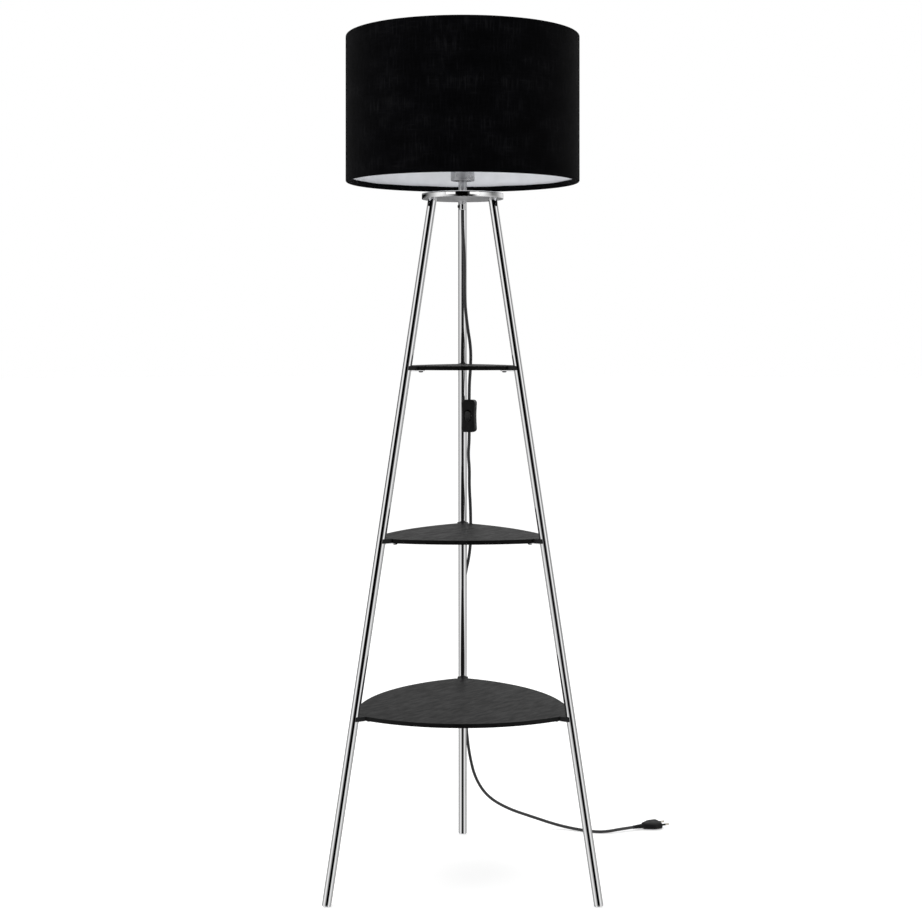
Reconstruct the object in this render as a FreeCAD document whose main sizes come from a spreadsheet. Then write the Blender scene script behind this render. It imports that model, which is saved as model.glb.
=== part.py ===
import FreeCAD, Part

import math
import os
import re

import Sketcher

# A floor lamp with three shelves. Three tubular legs lean inwards and meet under a round plate.
# A drum shade stands on the plate, and the mains cord hangs from it, past the shelves, to the floor.
# Millimetres, +Z up. The origin is on the lamp's axis at floor level, and the camera side is -Y.

SIZES = {
    # legs: the axis of each runs from its radius at the plate to its radius at the floor
    "leg_diameter": 16,
    "leg_wall": 1.5,
    "leg_top_radius": 62.2,
    "foot_radius": 272.4,
    "plate_height": 1235,
    "insert_length": 25,
    "foot_cap_thickness": 4,
    "foot_cap_round": 2.5,
    "foot_spigot_length": 12,
    "foot_flat_depth": 0.4,
    "press_clearance": 0.05,
    # plate that the legs are screwed to, and the polished cap over it
    "cap_diameter": 148,
    "cap_height": 10,
    "cap_wall": 1.2,
    "cap_round": 1,
    "plate_thickness": 5,
    "plate_clearance": 0.2,
    "leg_screw_diameter": 6,
    "leg_screw_head_diameter": 10.5,
    "leg_screw_head_height": 3,
    "leg_screw_length": 16,
    "screw_clearance": 0.25,
    # stem, its sleeve, and the cord grip under the plate
    "stem_diameter": 10,
    "stem_bore": 7.5,
    "sleeve_diameter": 15.4,
    "sleeve_length": 23,
    "stem_nut_width": 16,
    "stem_nut_thickness": 3.5,
    "grip_diameter": 11.8,
    "grip_length": 19.5,
    "grip_thread_depth": 8,
    "grip_screw_height": 6.5,
    "grip_screw_diameter": 3,
    "grip_screw_head_diameter": 6.4,
    "grip_screw_head_length": 3.4,
    # lampholder
    "holder_diameter": 43.4,
    "holder_wall": 1.6,
    "holder_cup_height": 20,
    "holder_body_height": 23,
    "holder_collar_diameter": 39,
    "holder_collar_height": 23,
    "insulator_thickness": 6,
    "insulator_wall": 3.6,
    "thread_sleeve_bore": 26.9,
    "thread_sleeve_wall": 0.5,
    "thread_sleeve_length": 24,
    "contact_diameter": 8,
    "contact_height": 5,
    "terminal_width": 6,
    "terminal_height": 8,
    "terminal_spacing": 20,
    "lead_overlap": 8,
    # bulb
    "bulb_cap_diameter": 26.4,
    "bulb_cap_length": 25,
    "bulb_housing_diameter": 44,
    "bulb_housing_length": 24,
    "bulb_diameter": 60,
    "bulb_neck_length": 20,
    "bulb_neck_angle": 16,
    "bulb_glass": 1.2,
    # shade
    "shade_diameter": 423.5,
    "shade_height": 265,
    "shade_drop": 46,
    "fabric_thickness": 1,
    "lining_thickness": 0.8,
    "hem_height": 10,
    "ring_wire": 4,
    "arm_wire": 4,
    "carrier_diameter": 58,
    "carrier_thickness": 2,
    "clamp_ring_diameter": 54,
    "clamp_ring_height": 7,
    # shelves: heights of the tops, radii of the curved sides, how far the sides' middles lie inside the
    # legs' circle, and how far the two back sides turn towards the rear leg
    "upper_shelf_height": 934,
    "upper_front_radius": 288,
    "upper_front_inset": 41,
    "upper_back_radius": 262,
    "upper_back_inset": 34.6,
    "upper_back_turn": 8.4,
    "middle_shelf_height": 629.6,
    "middle_front_radius": 418,
    "middle_front_inset": 59.7,
    "middle_back_radius": 380,
    "middle_back_inset": 50.3,
    "middle_back_turn": 8.4,
    "lower_shelf_height": 322.5,
    "lower_front_radius": 299.4,
    "lower_front_inset": 55.9,
    "lower_back_radius": 297.3,
    "lower_back_inset": 49.3,
    "lower_back_turn": 3,
    "shelf_thickness": 7.5,
    "shelf_round": 0.8,
    "corner_flat_setback": 16.7,
    # saddles, brackets and screws at the shelf corners
    "saddle_width": 20,
    "saddle_wrap": 1.5,
    "bracket_length": 34,
    "bracket_width": 12,
    "bracket_thickness": 2,
    "shelf_screw_setback": 28,
    "shelf_screw_diameter": 4,
    "shelf_screw_head_diameter": 8,
    "shelf_screw_head_height": 2.6,
    "shelf_screw_depth": 5.5,
    # cord
    "cord_diameter": 5.8,
    "run_above_switch": 28,
    "run_below_switch": 18,
    "run_to_plug": 25,
    # switch on the cord
    "switch_across": 12.4,
    "switch_back": 102,
    "switch_height": 836.5,
    "switch_turn": 15,
    "switch_length": 60.7,
    "switch_width": 26.4,
    "switch_waist": 1,
    "switch_half_depth": 10,
    "switch_wall": 1.8,
    "switch_corner": 7,
    "switch_edge_round": 2,
    "switch_hollow_inset": 3.8,
    "rocker_width": 10.6,
    "rocker_length": 20.6,
    "rocker_depth": 6,
    "rocker_stand": 1.4,
    "rocker_gap": 1.1,
    "rocker_tilt": 7,
    "rocker_dish_radius": 34,
    "pivot_depth": 4.5,
    "pivot_diameter": 2,
    "running_clearance": 0.05,
    "switch_screw_diameter": 2.5,
    "switch_screw_head_diameter": 4.6,
    "switch_screw_head_height": 1.2,
    "switch_screw_offset": 21,
    "switch_contact_thickness": 1,
    "switch_contact_width": 6,
    "switch_contact_length": 10,
    "switch_contact_offset": 9,
    # plug at the end of the cord
    "plug_across": 359.6,
    "plug_back": 298,
    "plug_turn": 23.5,
    "plug_width": 35.3,
    "plug_thickness": 13.7,
    "plug_length": 36,
    "plug_neck_width": 13,
    "plug_round": 2.5,
    "pin_diameter": 4,
    "pin_length": 19,
    "pin_spacing": 19,
    "pin_root": 10,
    "pin_root_diameter": 3,
    "relief_length": 22,
    "relief_diameter": 9.6,
    "relief_tip_diameter": 6.8,
}

KNOWN = {alias: f"sizes.{alias}" for alias in SIZES}
LEGS = {"rear": 90, "front_left": 210, "front_right": 330}
SHELVES = ("upper", "middle", "lower")

doc = FreeCAD.newDocument("shelf_floor_lamp")
sheet = doc.addObject("Spreadsheet::Sheet", "sizes")
for row, (alias, number) in enumerate(SIZES.items(), start=1):
    sheet.set(f"A{row}", alias)
    sheet.set(f"B{row}", str(number))
    sheet.setAlias(f"B{row}", alias)
doc.recompute()


def sized(formula):
    """The formula with the sheet's name before each of its aliases."""
    return re.sub(r"[a-z]\w*", lambda word: KNOWN.get(word.group(), word.group()), str(formula))


def value(formula):
    """The formula's number, in millimetres or degrees."""
    result = sheet.evalExpression(sized(formula))
    return float(getattr(result, "Value", result))


def bind(item, **formulas):
    for name, formula in formulas.items():
        item.setExpression(name, sized(formula))
    return item


# Placements, as formulas.

SLOPE = "((foot_radius - leg_top_radius) / plate_height)"
TILT = f"atan({SLOPE})"


def at(x=0, y=0, z=0, turn="rotationz(0)"):
    return f"placement(vector({x}; {y}; {z}); {turn})"


def around(azimuth, x=0, y=0, z=0, turn="rotationz(0)"):
    """A place at a distance x from the lamp's axis, towards an azimuth."""
    return f"{at(turn=f'rotationz({azimuth})')} * {at(x, y, z, turn)}"


def along_leg(azimuth, z=0):
    """A place on a leg's axis, a distance z above the point where the axis meets the floor."""
    return f"{around(azimuth, 'foot_radius', turn=f'rotationy(-{TILT})')} * {at(z=z)}"


# Shapes.


def cylinder(name, diameter, height, place):
    item = doc.addObject("Part::Cylinder", name)
    return bind(item, Radius=f"({diameter}) / 2", Height=height, Placement=place)


def cone(name, diameter, top_diameter, height, place):
    item = doc.addObject("Part::Cone", name)
    bind(item, Radius1=f"({diameter}) / 2", Radius2=f"({top_diameter}) / 2")
    return bind(item, Height=height, Placement=place)


def box(name, length, width, height, place):
    item = doc.addObject("Part::Box", name)
    return bind(item, Length=length, Width=width, Height=height, Placement=place)


def torus(name, ring_radius, wire_diameter, place):
    item = doc.addObject("Part::Torus", name)
    return bind(item, Radius1=ring_radius, Radius2=f"({wire_diameter}) / 2", Placement=place)


def fuse(name, *pieces):
    item = doc.addObject("Part::MultiFuse", name)
    item.Shapes = list(pieces)
    return item


def common(name, *pieces):
    item = doc.addObject("Part::MultiCommon", name)
    item.Shapes = list(pieces)
    return item


def cut(name, base, *tools):
    item = doc.addObject("Part::Cut", name)
    item.Base = base
    item.Tool = tools[0] if len(tools) == 1 else fuse(f"{name}_tools", *tools)
    return item


def group(name, *pieces):
    """Identical fasteners, each a solid of its own."""
    item = doc.addObject("Part::Compound", name)
    item.Links = list(pieces)
    return item


def feature(name, shape):
    item = doc.addObject("Part::Feature", name)
    item.Shape = shape
    return item


def origin_plane(body, role):
    return next(plane for plane in body.Origin.OriginFeatures if plane.Role == role)


def sketch_on(body, role, name):
    sketch = body.newObject("Sketcher::SketchObject", name)
    sketch.AttachmentSupport = [(origin_plane(body, role), "")]
    sketch.MapMode = "FlatFace"
    return sketch


def dimension(sketch, kind, line, end, formula):
    """Sets one coordinate of a line's end from the sketch's origin."""
    if str(formula) == "0":
        axis = -2 if kind == "DistanceX" else -1
        sketch.addConstraint(Sketcher.Constraint("PointOnObject", line, end, axis))
        return
    index = sketch.addConstraint(Sketcher.Constraint(kind, -1, 1, line, end, value(formula)))
    sketch.setExpression(f"Constraints[{index}]", sized(formula))


def outline(sketch, corners):
    """A closed outline of straight lines through corners that are given as formulas."""
    points = [FreeCAD.Vector(value(x), value(y), 0) for x, y in corners]
    count = len(points)
    for index in range(count):
        sketch.addGeometry(Part.LineSegment(points[index], points[(index + 1) % count]), False)
    for index in range(count):
        sketch.addConstraint(Sketcher.Constraint("Coincident", index, 2, (index + 1) % count, 1))
    for index, (x, y) in enumerate(corners):
        dimension(sketch, "DistanceX", index, 1, x)
        dimension(sketch, "DistanceY", index, 1, y)


def circle(sketch, diameter, x="0", y="0"):
    centre = FreeCAD.Vector(value(x), value(y), 0)
    radius = value(f"({diameter}) / 2")
    index = sketch.addGeometry(Part.Circle(centre, FreeCAD.Vector(0, 0, 1), radius), False)
    constraint = sketch.addConstraint(Sketcher.Constraint("Radius", index, radius))
    sketch.setExpression(f"Constraints[{constraint}]", sized(f"({diameter}) / 2"))
    dimension(sketch, "DistanceX", index, 3, x)
    dimension(sketch, "DistanceY", index, 3, y)


def turned(name, corners, place):
    """A piece turned about its own Z axis, from the radii and heights of its outline."""
    body = doc.addObject("PartDesign::Body", name)
    sketch = sketch_on(body, "XZ_Plane", f"{name}_outline")
    outline(sketch, corners)
    revolution = body.newObject("PartDesign::Revolution", f"{name}_turned")
    revolution.Profile = sketch
    revolution.ReferenceAxis = (sketch, ["V_Axis"])
    revolution.Angle = 360
    return bind(body, Placement=place)


def round_edges(body, radius, chosen):
    """Rounds the edges of a body's last feature that the test chooses."""
    doc.recompute()
    last = body.Tip
    names = [f"Edge{i}" for i, edge in enumerate(last.Shape.Edges, start=1) if chosen(edge)]
    fillet = body.newObject("PartDesign::Fillet", f"{last.Name}_round")
    fillet.Base = (last, names)
    bind(fillet, Radius=radius)


def level(edge, height):
    """Whether an edge lies level at a height."""
    box_of_edge = edge.BoundBox
    return abs(box_of_edge.ZMin - height) < 0.01 and abs(box_of_edge.ZMax - height) < 0.01


pieces = []


def keep(item, name):
    """Names a finished piece."""
    item.Label = name
    pieces.append(item)
    return item


# Legs: chromed steel tube, cut level under the plate and square at the floor.

FOOT_END = (
    f"(((leg_diameter / 2 - foot_cap_round) * sin({TILT}) + foot_cap_round * (1 - cos({TILT}))"
    f" - foot_flat_depth) / cos({TILT}))"
)
AXIS_LENGTH = f"(plate_height / cos({TILT}))"
LEG_BORE = "(leg_diameter - 2 * leg_wall)"
SPARE = "(leg_diameter * 2)"


def above_plate(name, azimuth):
    """Everything above the plate's underside, around one leg."""
    corner = around(azimuth, f"leg_top_radius - {SPARE}", f"-{SPARE}", "plate_height")
    return box(name, f"2 * {SPARE}", f"2 * {SPARE}", SPARE, corner)


def leg_envelope(name, azimuth, clearance="0"):
    """The round outside of a leg, from the floor to past the plate's underside."""
    diameter = f"leg_diameter + 2 * {clearance}"
    return cylinder(name, diameter, f"{AXIS_LENGTH} + leg_diameter", along_leg(azimuth))


def make_leg(side, azimuth):
    start = f"({FOOT_END} + foot_cap_thickness)"
    length = f"{AXIS_LENGTH} - {start} + leg_diameter"
    outside = cylinder(f"tube_{side}", "leg_diameter", length, along_leg(azimuth, start))
    bore = cylinder(f"tube_bore_{side}", LEG_BORE, length, along_leg(azimuth, start))
    keep(cut(f"leg_{side}_piece", outside, bore, above_plate(f"leg_top_{side}", azimuth)), f"leg_{side}")


def make_foot_cap(side, azimuth):
    """A pressed-in end cap with a rounded edge and a small level flat that stands on the floor."""
    corners = [
        ("0", "0"),
        ("leg_diameter / 2", "0"),
        ("leg_diameter / 2", "foot_cap_thickness"),
        (f"{LEG_BORE} / 2 - press_clearance", "foot_cap_thickness"),
        (f"{LEG_BORE} / 2 - press_clearance", "foot_cap_thickness + foot_spigot_length"),
        ("0", "foot_cap_thickness + foot_spigot_length"),
    ]
    cap = turned(f"foot_cap_{side}_turned", corners, along_leg(azimuth, FOOT_END))
    rim = value("leg_diameter / 2")
    round_edges(cap, "foot_cap_round", lambda edge: level(edge, 0) and edge.BoundBox.XMax > rim - 0.01)
    corner = around(azimuth, f"foot_radius - {SPARE}", f"-{SPARE}", f"-{SPARE}")
    below = box(f"below_floor_{side}", f"2 * {SPARE}", f"2 * {SPARE}", SPARE, corner)
    keep(cut(f"foot_cap_{side}_piece", cap, below), f"foot_cap_{side}")


def leg_insert(side, azimuth):
    """A threaded plug welded into the top of a leg."""
    foot = along_leg(azimuth, f"{AXIS_LENGTH} - insert_length")
    length = "insert_length + leg_diameter"
    plug = cylinder(f"insert_plug_{side}", f"{LEG_BORE} - 2 * press_clearance", length, foot)
    depth = "(leg_screw_length - plate_thickness + 2)"
    diameter = "leg_screw_diameter + 2 * press_clearance"
    base = around(azimuth, "leg_top_radius", 0, f"plate_height - {depth}")
    hole = cylinder(f"insert_thread_{side}", diameter, f"{depth} + leg_diameter", base)
    top = above_plate(f"insert_top_{side}", azimuth)
    return cut(f"leg_insert_{side}", plug, hole, top)


for side, azimuth in LEGS.items():
    make_leg(side, azimuth)
    make_foot_cap(side, azimuth)
keep(group("leg_insert_group", *[leg_insert(*leg) for leg in LEGS.items()]), "leg_inserts")


# Plate and cap: a steel plate takes the legs, and a polished cap covers its top and rim.


def make_leg_plate():
    body = doc.addObject("PartDesign::Body", "leg_plate_body")
    disc_sketch = sketch_on(body, "XY_Plane", "leg_plate_outline")
    circle(disc_sketch, "cap_diameter - 2 * cap_wall - 2 * plate_clearance")
    disc = body.newObject("PartDesign::Pad", "leg_plate_disc")
    disc.Profile = disc_sketch
    bind(disc, Length="plate_thickness")
    hole_sketch = sketch_on(body, "XY_Plane", "leg_plate_holes")
    circle(hole_sketch, "leg_screw_diameter + 2 * screw_clearance", "0", "leg_top_radius")
    holes = body.newObject("PartDesign::Pocket", "leg_plate_screw_hole")
    holes.Profile = hole_sketch
    holes.Type = "ThroughAll"
    holes.Reversed = True
    doc.recompute()
    pattern = body.newObject("PartDesign::PolarPattern", "leg_plate_screw_holes")
    pattern.Originals = [holes]
    pattern.Axis = (hole_sketch, ["N_Axis"])
    pattern.Angle = 360
    pattern.Occurrences = len(LEGS)
    body.Tip = pattern
    centre_sketch = sketch_on(body, "XY_Plane", "leg_plate_centre")
    circle(centre_sketch, "stem_diameter + 2 * press_clearance")
    centre = body.newObject("PartDesign::Pocket", "leg_plate_stem_hole")
    centre.Profile = centre_sketch
    centre.Type = "ThroughAll"
    centre.Reversed = True
    bind(body, Placement=at(z="plate_height"))
    keep(body, "leg_plate")


def make_cap():
    corners = [
        ("cap_diameter / 2 - cap_wall", "0"),
        ("cap_diameter / 2", "0"),
        ("cap_diameter / 2", "cap_height"),
        ("stem_diameter / 2 + press_clearance", "cap_height"),
        ("stem_diameter / 2 + press_clearance", "cap_height - cap_wall"),
        ("cap_diameter / 2 - cap_wall", "cap_height - cap_wall"),
    ]
    body = turned("top_cap_body", corners, at(z="plate_height"))
    top = value("cap_height")
    rim = value("cap_diameter / 2")
    round_edges(body, "cap_round", lambda edge: level(edge, top) and edge.BoundBox.XMax > rim - 0.01)
    keep(body, "top_cap")


def headed_screw(name, diameter, length, head_diameter, head_height, place, head_side):
    """A screw whose head stands on the place's origin, with its shank on the other side."""
    reach = f"{place} * {at(z=f'-({length})' if head_side > 0 else 0)}"
    shank = cylinder(f"{name}_shank", diameter, length, reach)
    seat = f"{place} * {at(z=0 if head_side > 0 else f'-({head_height})')}"
    head = cylinder(f"{name}_head", head_diameter, head_height, seat)
    return fuse(name, shank, head)


def make_leg_screws():
    screws = []
    for side, azimuth in LEGS.items():
        place = around(azimuth, "leg_top_radius", 0, "plate_height + plate_thickness")
        head = ("leg_screw_head_diameter", "leg_screw_head_height")
        name = f"leg_screw_{side}"
        screws.append(headed_screw(name, "leg_screw_diameter", "leg_screw_length", *head, place, 1))
    keep(group("leg_screw_group", *screws), "leg_screws")


make_leg_plate()
make_cap()
make_leg_screws()


# Stem: a threaded tube from the cord grip to the lampholder, inside a polished sleeve.

CAP_TOP = "(plate_height + cap_height)"
HOLDER_BASE = f"({CAP_TOP} + sleeve_length)"
GRIP_BASE = "(plate_height - grip_length)"
STEM_BASE = "(plate_height - grip_thread_depth)"
STEM_TOP = f"({HOLDER_BASE} + holder_wall + stem_nut_thickness + 1)"
HOLDER_FLOOR = f"({HOLDER_BASE} + holder_wall)"
LEAD_TOP = f"({STEM_TOP} + lead_overlap)"


def tube(name, diameter, bore, height, base):
    outside = cylinder(f"{name}_outside", diameter, height, at(z=base))
    inside = cylinder(f"{name}_bore", bore, height, at(z=base))
    return cut(f"{name}_tube", outside, inside)


def make_stem():
    keep(tube("stem", "stem_diameter", "stem_bore", f"{STEM_TOP} - {STEM_BASE}", STEM_BASE), "stem")
    bore = "stem_diameter + 2 * press_clearance"
    keep(tube("sleeve", "sleeve_diameter", bore, "sleeve_length", CAP_TOP), "stem_sleeve")
    nut = doc.addObject("Part::Prism", "stem_nut_hexagon")
    nut.Polygon = 6
    width = "stem_nut_width / 2 / cos(30)"
    bind(nut, Circumradius=width, Height="stem_nut_thickness", Placement=at(z=HOLDER_FLOOR))
    hole = cylinder("stem_nut_hole", bore, "stem_nut_thickness", at(z=HOLDER_FLOOR))
    keep(cut("stem_nut_piece", nut, hole), "stem_nut")


def make_grip():
    """The cord grip screws onto the stem's lower end and holds the cord with a side screw."""
    lower = "(cord_diameter / 2 + screw_clearance)"
    upper = "(stem_diameter / 2 + press_clearance)"
    corners = [
        (lower, "0"),
        ("grip_diameter / 2", "0"),
        ("grip_diameter / 2", "grip_length"),
        (upper, "grip_length"),
        (upper, "grip_length - grip_thread_depth"),
        (lower, "grip_length - grip_thread_depth"),
    ]
    body = turned("grip_body", corners, at(z=GRIP_BASE))
    face = at("-(grip_diameter / 2)", 0, f"{GRIP_BASE} + grip_screw_height", "rotationy(-90)")
    length = "(grip_diameter - cord_diameter) / 2 - press_clearance"
    hole = cylinder(
        "grip_screw_hole", "grip_screw_diameter + 2 * press_clearance", "grip_diameter / 2",
        f"{face} * {at(z='-(grip_diameter / 2)')}",
    )
    keep(cut("cord_grip_piece", body, hole), "cord_grip")
    head = ("grip_screw_head_diameter", "grip_screw_head_length")
    keep(headed_screw("grip_screw", "grip_screw_diameter", length, *head, face, 1), "cord_grip_screw")


def make_lead():
    """The cord's end inside the stem, from the grip to the lampholder."""
    lead = cylinder("lead", "cord_diameter", f"{LEAD_TOP} - {GRIP_BASE}", at(z=GRIP_BASE))
    keep(lead, "stem_lead")


make_stem()
make_grip()
make_lead()


# Lampholder: a cup on the stem, a body with a threaded collar, and the live parts inside it.

BODY_BASE = f"({HOLDER_BASE} + holder_cup_height)"
SHOULDER = f"({BODY_BASE} + holder_body_height)"
INSULATOR_BASE = f"({BODY_BASE} + 1)"
CONTACT_BASE = f"({INSULATOR_BASE} + insulator_thickness)"
BULB_BASE = f"({CONTACT_BASE} + contact_height)"
THREAD_OUTSIDE = "(thread_sleeve_bore + 2 * thread_sleeve_wall)"


def make_holder():
    cup = [
        ("stem_diameter / 2 + press_clearance", "0"),
        ("holder_diameter / 2", "0"),
        ("holder_diameter / 2", "holder_cup_height"),
        ("holder_diameter / 2 - holder_wall", "holder_cup_height"),
        ("holder_diameter / 2 - holder_wall", "holder_wall"),
        ("stem_diameter / 2 + press_clearance", "holder_wall"),
    ]
    body = turned("holder_cup_body", cup, at(z=HOLDER_BASE))
    rim = value("holder_diameter / 2")
    round_edges(body, "cap_round", lambda edge: level(edge, 0) and edge.BoundBox.XMax > rim - 0.01)
    keep(body, "holder_cup")
    shell = [
        ("holder_diameter / 2 - holder_wall", "0"),
        ("holder_diameter / 2", "0"),
        ("holder_diameter / 2", "holder_body_height"),
        ("holder_collar_diameter / 2", "holder_body_height"),
        ("holder_collar_diameter / 2", "holder_body_height + holder_collar_height"),
        ("holder_collar_diameter / 2 - holder_wall", "holder_body_height + holder_collar_height"),
        ("holder_collar_diameter / 2 - holder_wall", "holder_body_height - holder_wall"),
        ("holder_diameter / 2 - holder_wall", "holder_body_height - holder_wall"),
    ]
    keep(turned("holder_shell_body", shell, at(z=BODY_BASE)), "holder_shell")


def make_insulator():
    wall_bore = f"({THREAD_OUTSIDE} / 2 + press_clearance)"
    wall_top = "contact_height + thread_sleeve_length + insulator_thickness - 1"
    corners = [
        ("0", "0"),
        ("holder_diameter / 2 - holder_wall - press_clearance", "0"),
        ("holder_diameter / 2 - holder_wall - press_clearance", "insulator_thickness"),
        (f"{wall_bore} + insulator_wall", "insulator_thickness"),
        (f"{wall_bore} + insulator_wall", wall_top),
        (wall_bore, wall_top),
        (wall_bore, "insulator_thickness"),
        ("0", "insulator_thickness"),
    ]
    keep(turned("insulator_body", corners, at(z=INSULATOR_BASE)), "holder_insulator")


def make_live_parts():
    sleeve = tube("thread", THREAD_OUTSIDE, "thread_sleeve_bore", "thread_sleeve_length", CONTACT_BASE)
    keep(sleeve, "holder_thread_sleeve")
    contact = cylinder("contact", "contact_diameter", "contact_height", at(z=CONTACT_BASE))
    keep(contact, "holder_contact")
    blocks = []
    for name, way in (("live", 1), ("neutral", -1)):
        across = f"{way} * terminal_spacing / 2 - terminal_width / 2"
        corner = at(across, "-(terminal_width / 2)", f"{INSULATOR_BASE} - terminal_height")
        blocks.append(box(f"terminal_{name}", "terminal_width", "terminal_width", "terminal_height", corner))
    keep(group("terminal_group", *blocks), "holder_terminals")


make_holder()
make_insulator()
make_live_parts()


# Bulb: a frosted globe on a housing with a threaded cap.

HOUSING_BASE = f"({BULB_BASE} + bulb_cap_length)"
GLOBE_BASE = f"({HOUSING_BASE} + bulb_housing_length)"
GLOBE_ANGLE = "(bulb_neck_angle * 1 deg)"


def globe_shape(name, shrink):
    """The globe's outside, or its inside where it shrinks by the thickness of the glass."""
    radius = f"(bulb_diameter / 2 - {shrink})"
    ball = doc.addObject("Part::Sphere", f"{name}_ball")
    centre = f"({GLOBE_BASE} + bulb_neck_length + (bulb_diameter / 2) * sin({GLOBE_ANGLE}))"
    bind(ball, Radius=radius, Angle1=f"-{GLOBE_ANGLE}", Placement=at(z=centre))
    rim = f"2 * {radius} * cos({GLOBE_ANGLE})"
    length = f"bulb_neck_length + {shrink} * sin({GLOBE_ANGLE})"
    neck = cone(f"{name}_neck", f"bulb_housing_diameter - 2 * {shrink}", rim, length, at(z=GLOBE_BASE))
    return fuse(name, ball, neck)


def make_bulb():
    cap = cylinder("bulb_cap_shell", "bulb_cap_diameter", "bulb_cap_length", at(z=BULB_BASE))
    keep(cap, "bulb_cap")
    place = at(z=HOUSING_BASE)
    housing = cone("housing", "bulb_cap_diameter", "bulb_housing_diameter", "bulb_housing_length", place)
    keep(housing, "bulb_housing")
    outside = globe_shape("globe_outside", "0")
    inside = globe_shape("globe_inside", "bulb_glass")
    keep(cut("bulb_globe_piece", outside, inside), "bulb_globe")


make_bulb()


# Shade: black cloth laminated to a white lining, turned in over a wire ring at each end.
# A carrier with three arms hangs the lower ring from the lampholder's shoulder.

SHADE_RADIUS = "(shade_diameter / 2)"
SHADE_BASE = f"({SHOULDER} - shade_drop)"
LINING_RADIUS = f"({SHADE_RADIUS} - fabric_thickness)"
WIRE_RADIUS = f"({LINING_RADIUS} - lining_thickness - ring_wire / 2)"
RIM_RADIUS = f"({WIRE_RADIUS} - ring_wire / 2 - fabric_thickness)"
WIRE = "(ring_wire - 2 * press_clearance)"
LOWER_WIRE = f"({SHADE_BASE} + fabric_thickness + ring_wire / 2)"
UPPER_WIRE = f"({SHADE_BASE} + shade_height - fabric_thickness - ring_wire / 2)"


def carrier_arms(name, wire):
    """The three arms, from the flat ring on the lampholder down to the lower wire ring."""
    start = "(carrier_diameter / 2 - arm_wire / 2)"
    reach = f"({WIRE_RADIUS} - {start})"
    fall = f"({SHOULDER} + carrier_thickness / 2 - {LOWER_WIRE})"
    arms = []
    for side, azimuth in LEGS.items():
        turn = f"rotationy(90 deg + atan({fall} / {reach}))"
        place = around(azimuth, start, 0, f"{SHOULDER} + carrier_thickness / 2", turn)
        arms.append(cylinder(f"{name}_{side}", wire, f"sqrt({reach} ^ 2 + {fall} ^ 2)", place))
    return arms


def make_shade_cloth():
    """The cloth, with a notch in its lower hem round each arm."""
    flap = f"{RIM_RADIUS} + fabric_thickness"
    corners = [
        (SHADE_RADIUS, "0"),
        (SHADE_RADIUS, "shade_height"),
        (RIM_RADIUS, "shade_height"),
        (RIM_RADIUS, "shade_height - hem_height"),
        (flap, "shade_height - hem_height"),
        (flap, "shade_height - fabric_thickness"),
        (LINING_RADIUS, "shade_height - fabric_thickness"),
        (LINING_RADIUS, "fabric_thickness"),
        (flap, "fabric_thickness"),
        (flap, "hem_height"),
        (RIM_RADIUS, "hem_height"),
        (RIM_RADIUS, "0"),
    ]
    cloth = turned("shade_cloth_body", corners, at(z=SHADE_BASE))
    notches = carrier_arms("shade_cloth_notch", "arm_wire + 2 * screw_clearance")
    keep(cut("shade_cloth_piece", cloth, *notches), "shade_cloth")


def make_shade_lining():
    height = "shade_height - 2 * fabric_thickness"
    base = f"{SHADE_BASE} + fabric_thickness"
    bore = f"2 * ({LINING_RADIUS} - lining_thickness)"
    keep(tube("lining", f"2 * {LINING_RADIUS}", bore, height, base), "shade_lining")


def make_carrier():
    """A flat ring on the lampholder's shoulder with three arms down to the lower wire ring."""
    plate = tube(
        "carrier_plate", "carrier_diameter", "holder_collar_diameter + 2 * screw_clearance",
        "carrier_thickness", SHOULDER,
    )
    body = fuse("carrier_body", plate, *carrier_arms("arm", "arm_wire"))
    ring = torus("carrier_ring_seat", WIRE_RADIUS, WIRE, at(z=LOWER_WIRE))
    hole = cylinder("carrier_hole", "holder_collar_diameter + 2 * screw_clearance", "3 * arm_wire",
                    at(z=f"{SHOULDER} - arm_wire"))
    shoulder = cylinder("carrier_shoulder", "holder_diameter", "2 * arm_wire",
                        at(z=f"{SHOULDER} - 2 * arm_wire"))
    clamp = cylinder("carrier_clamp", "clamp_ring_diameter", "2 * arm_wire",
                     at(z=f"{SHOULDER} + carrier_thickness"))
    keep(cut("shade_carrier_piece", body, ring, hole, shoulder, clamp), "shade_carrier")


def make_rings():
    keep(torus("lower_ring", WIRE_RADIUS, WIRE, at(z=LOWER_WIRE)), "shade_lower_ring")
    keep(torus("upper_ring", WIRE_RADIUS, WIRE, at(z=UPPER_WIRE)), "shade_upper_ring")
    base = f"{SHOULDER} + carrier_thickness"
    bore = "holder_collar_diameter + 2 * press_clearance"
    keep(tube("clamp", "clamp_ring_diameter", bore, "clamp_ring_height", base), "shade_clamp_ring")


make_shade_cloth()
make_shade_lining()
make_carrier()
make_rings()


# Shelves: a board whose three sides bulge between flat corners, which face the legs.
# At each corner a saddle hugs the leg, and a bracket welded to the leg takes a screw from below.


def axis_radius(height):
    """A leg's distance from the lamp's axis at a height."""
    return f"(foot_radius - ({height}) * {SLOPE})"


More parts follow.
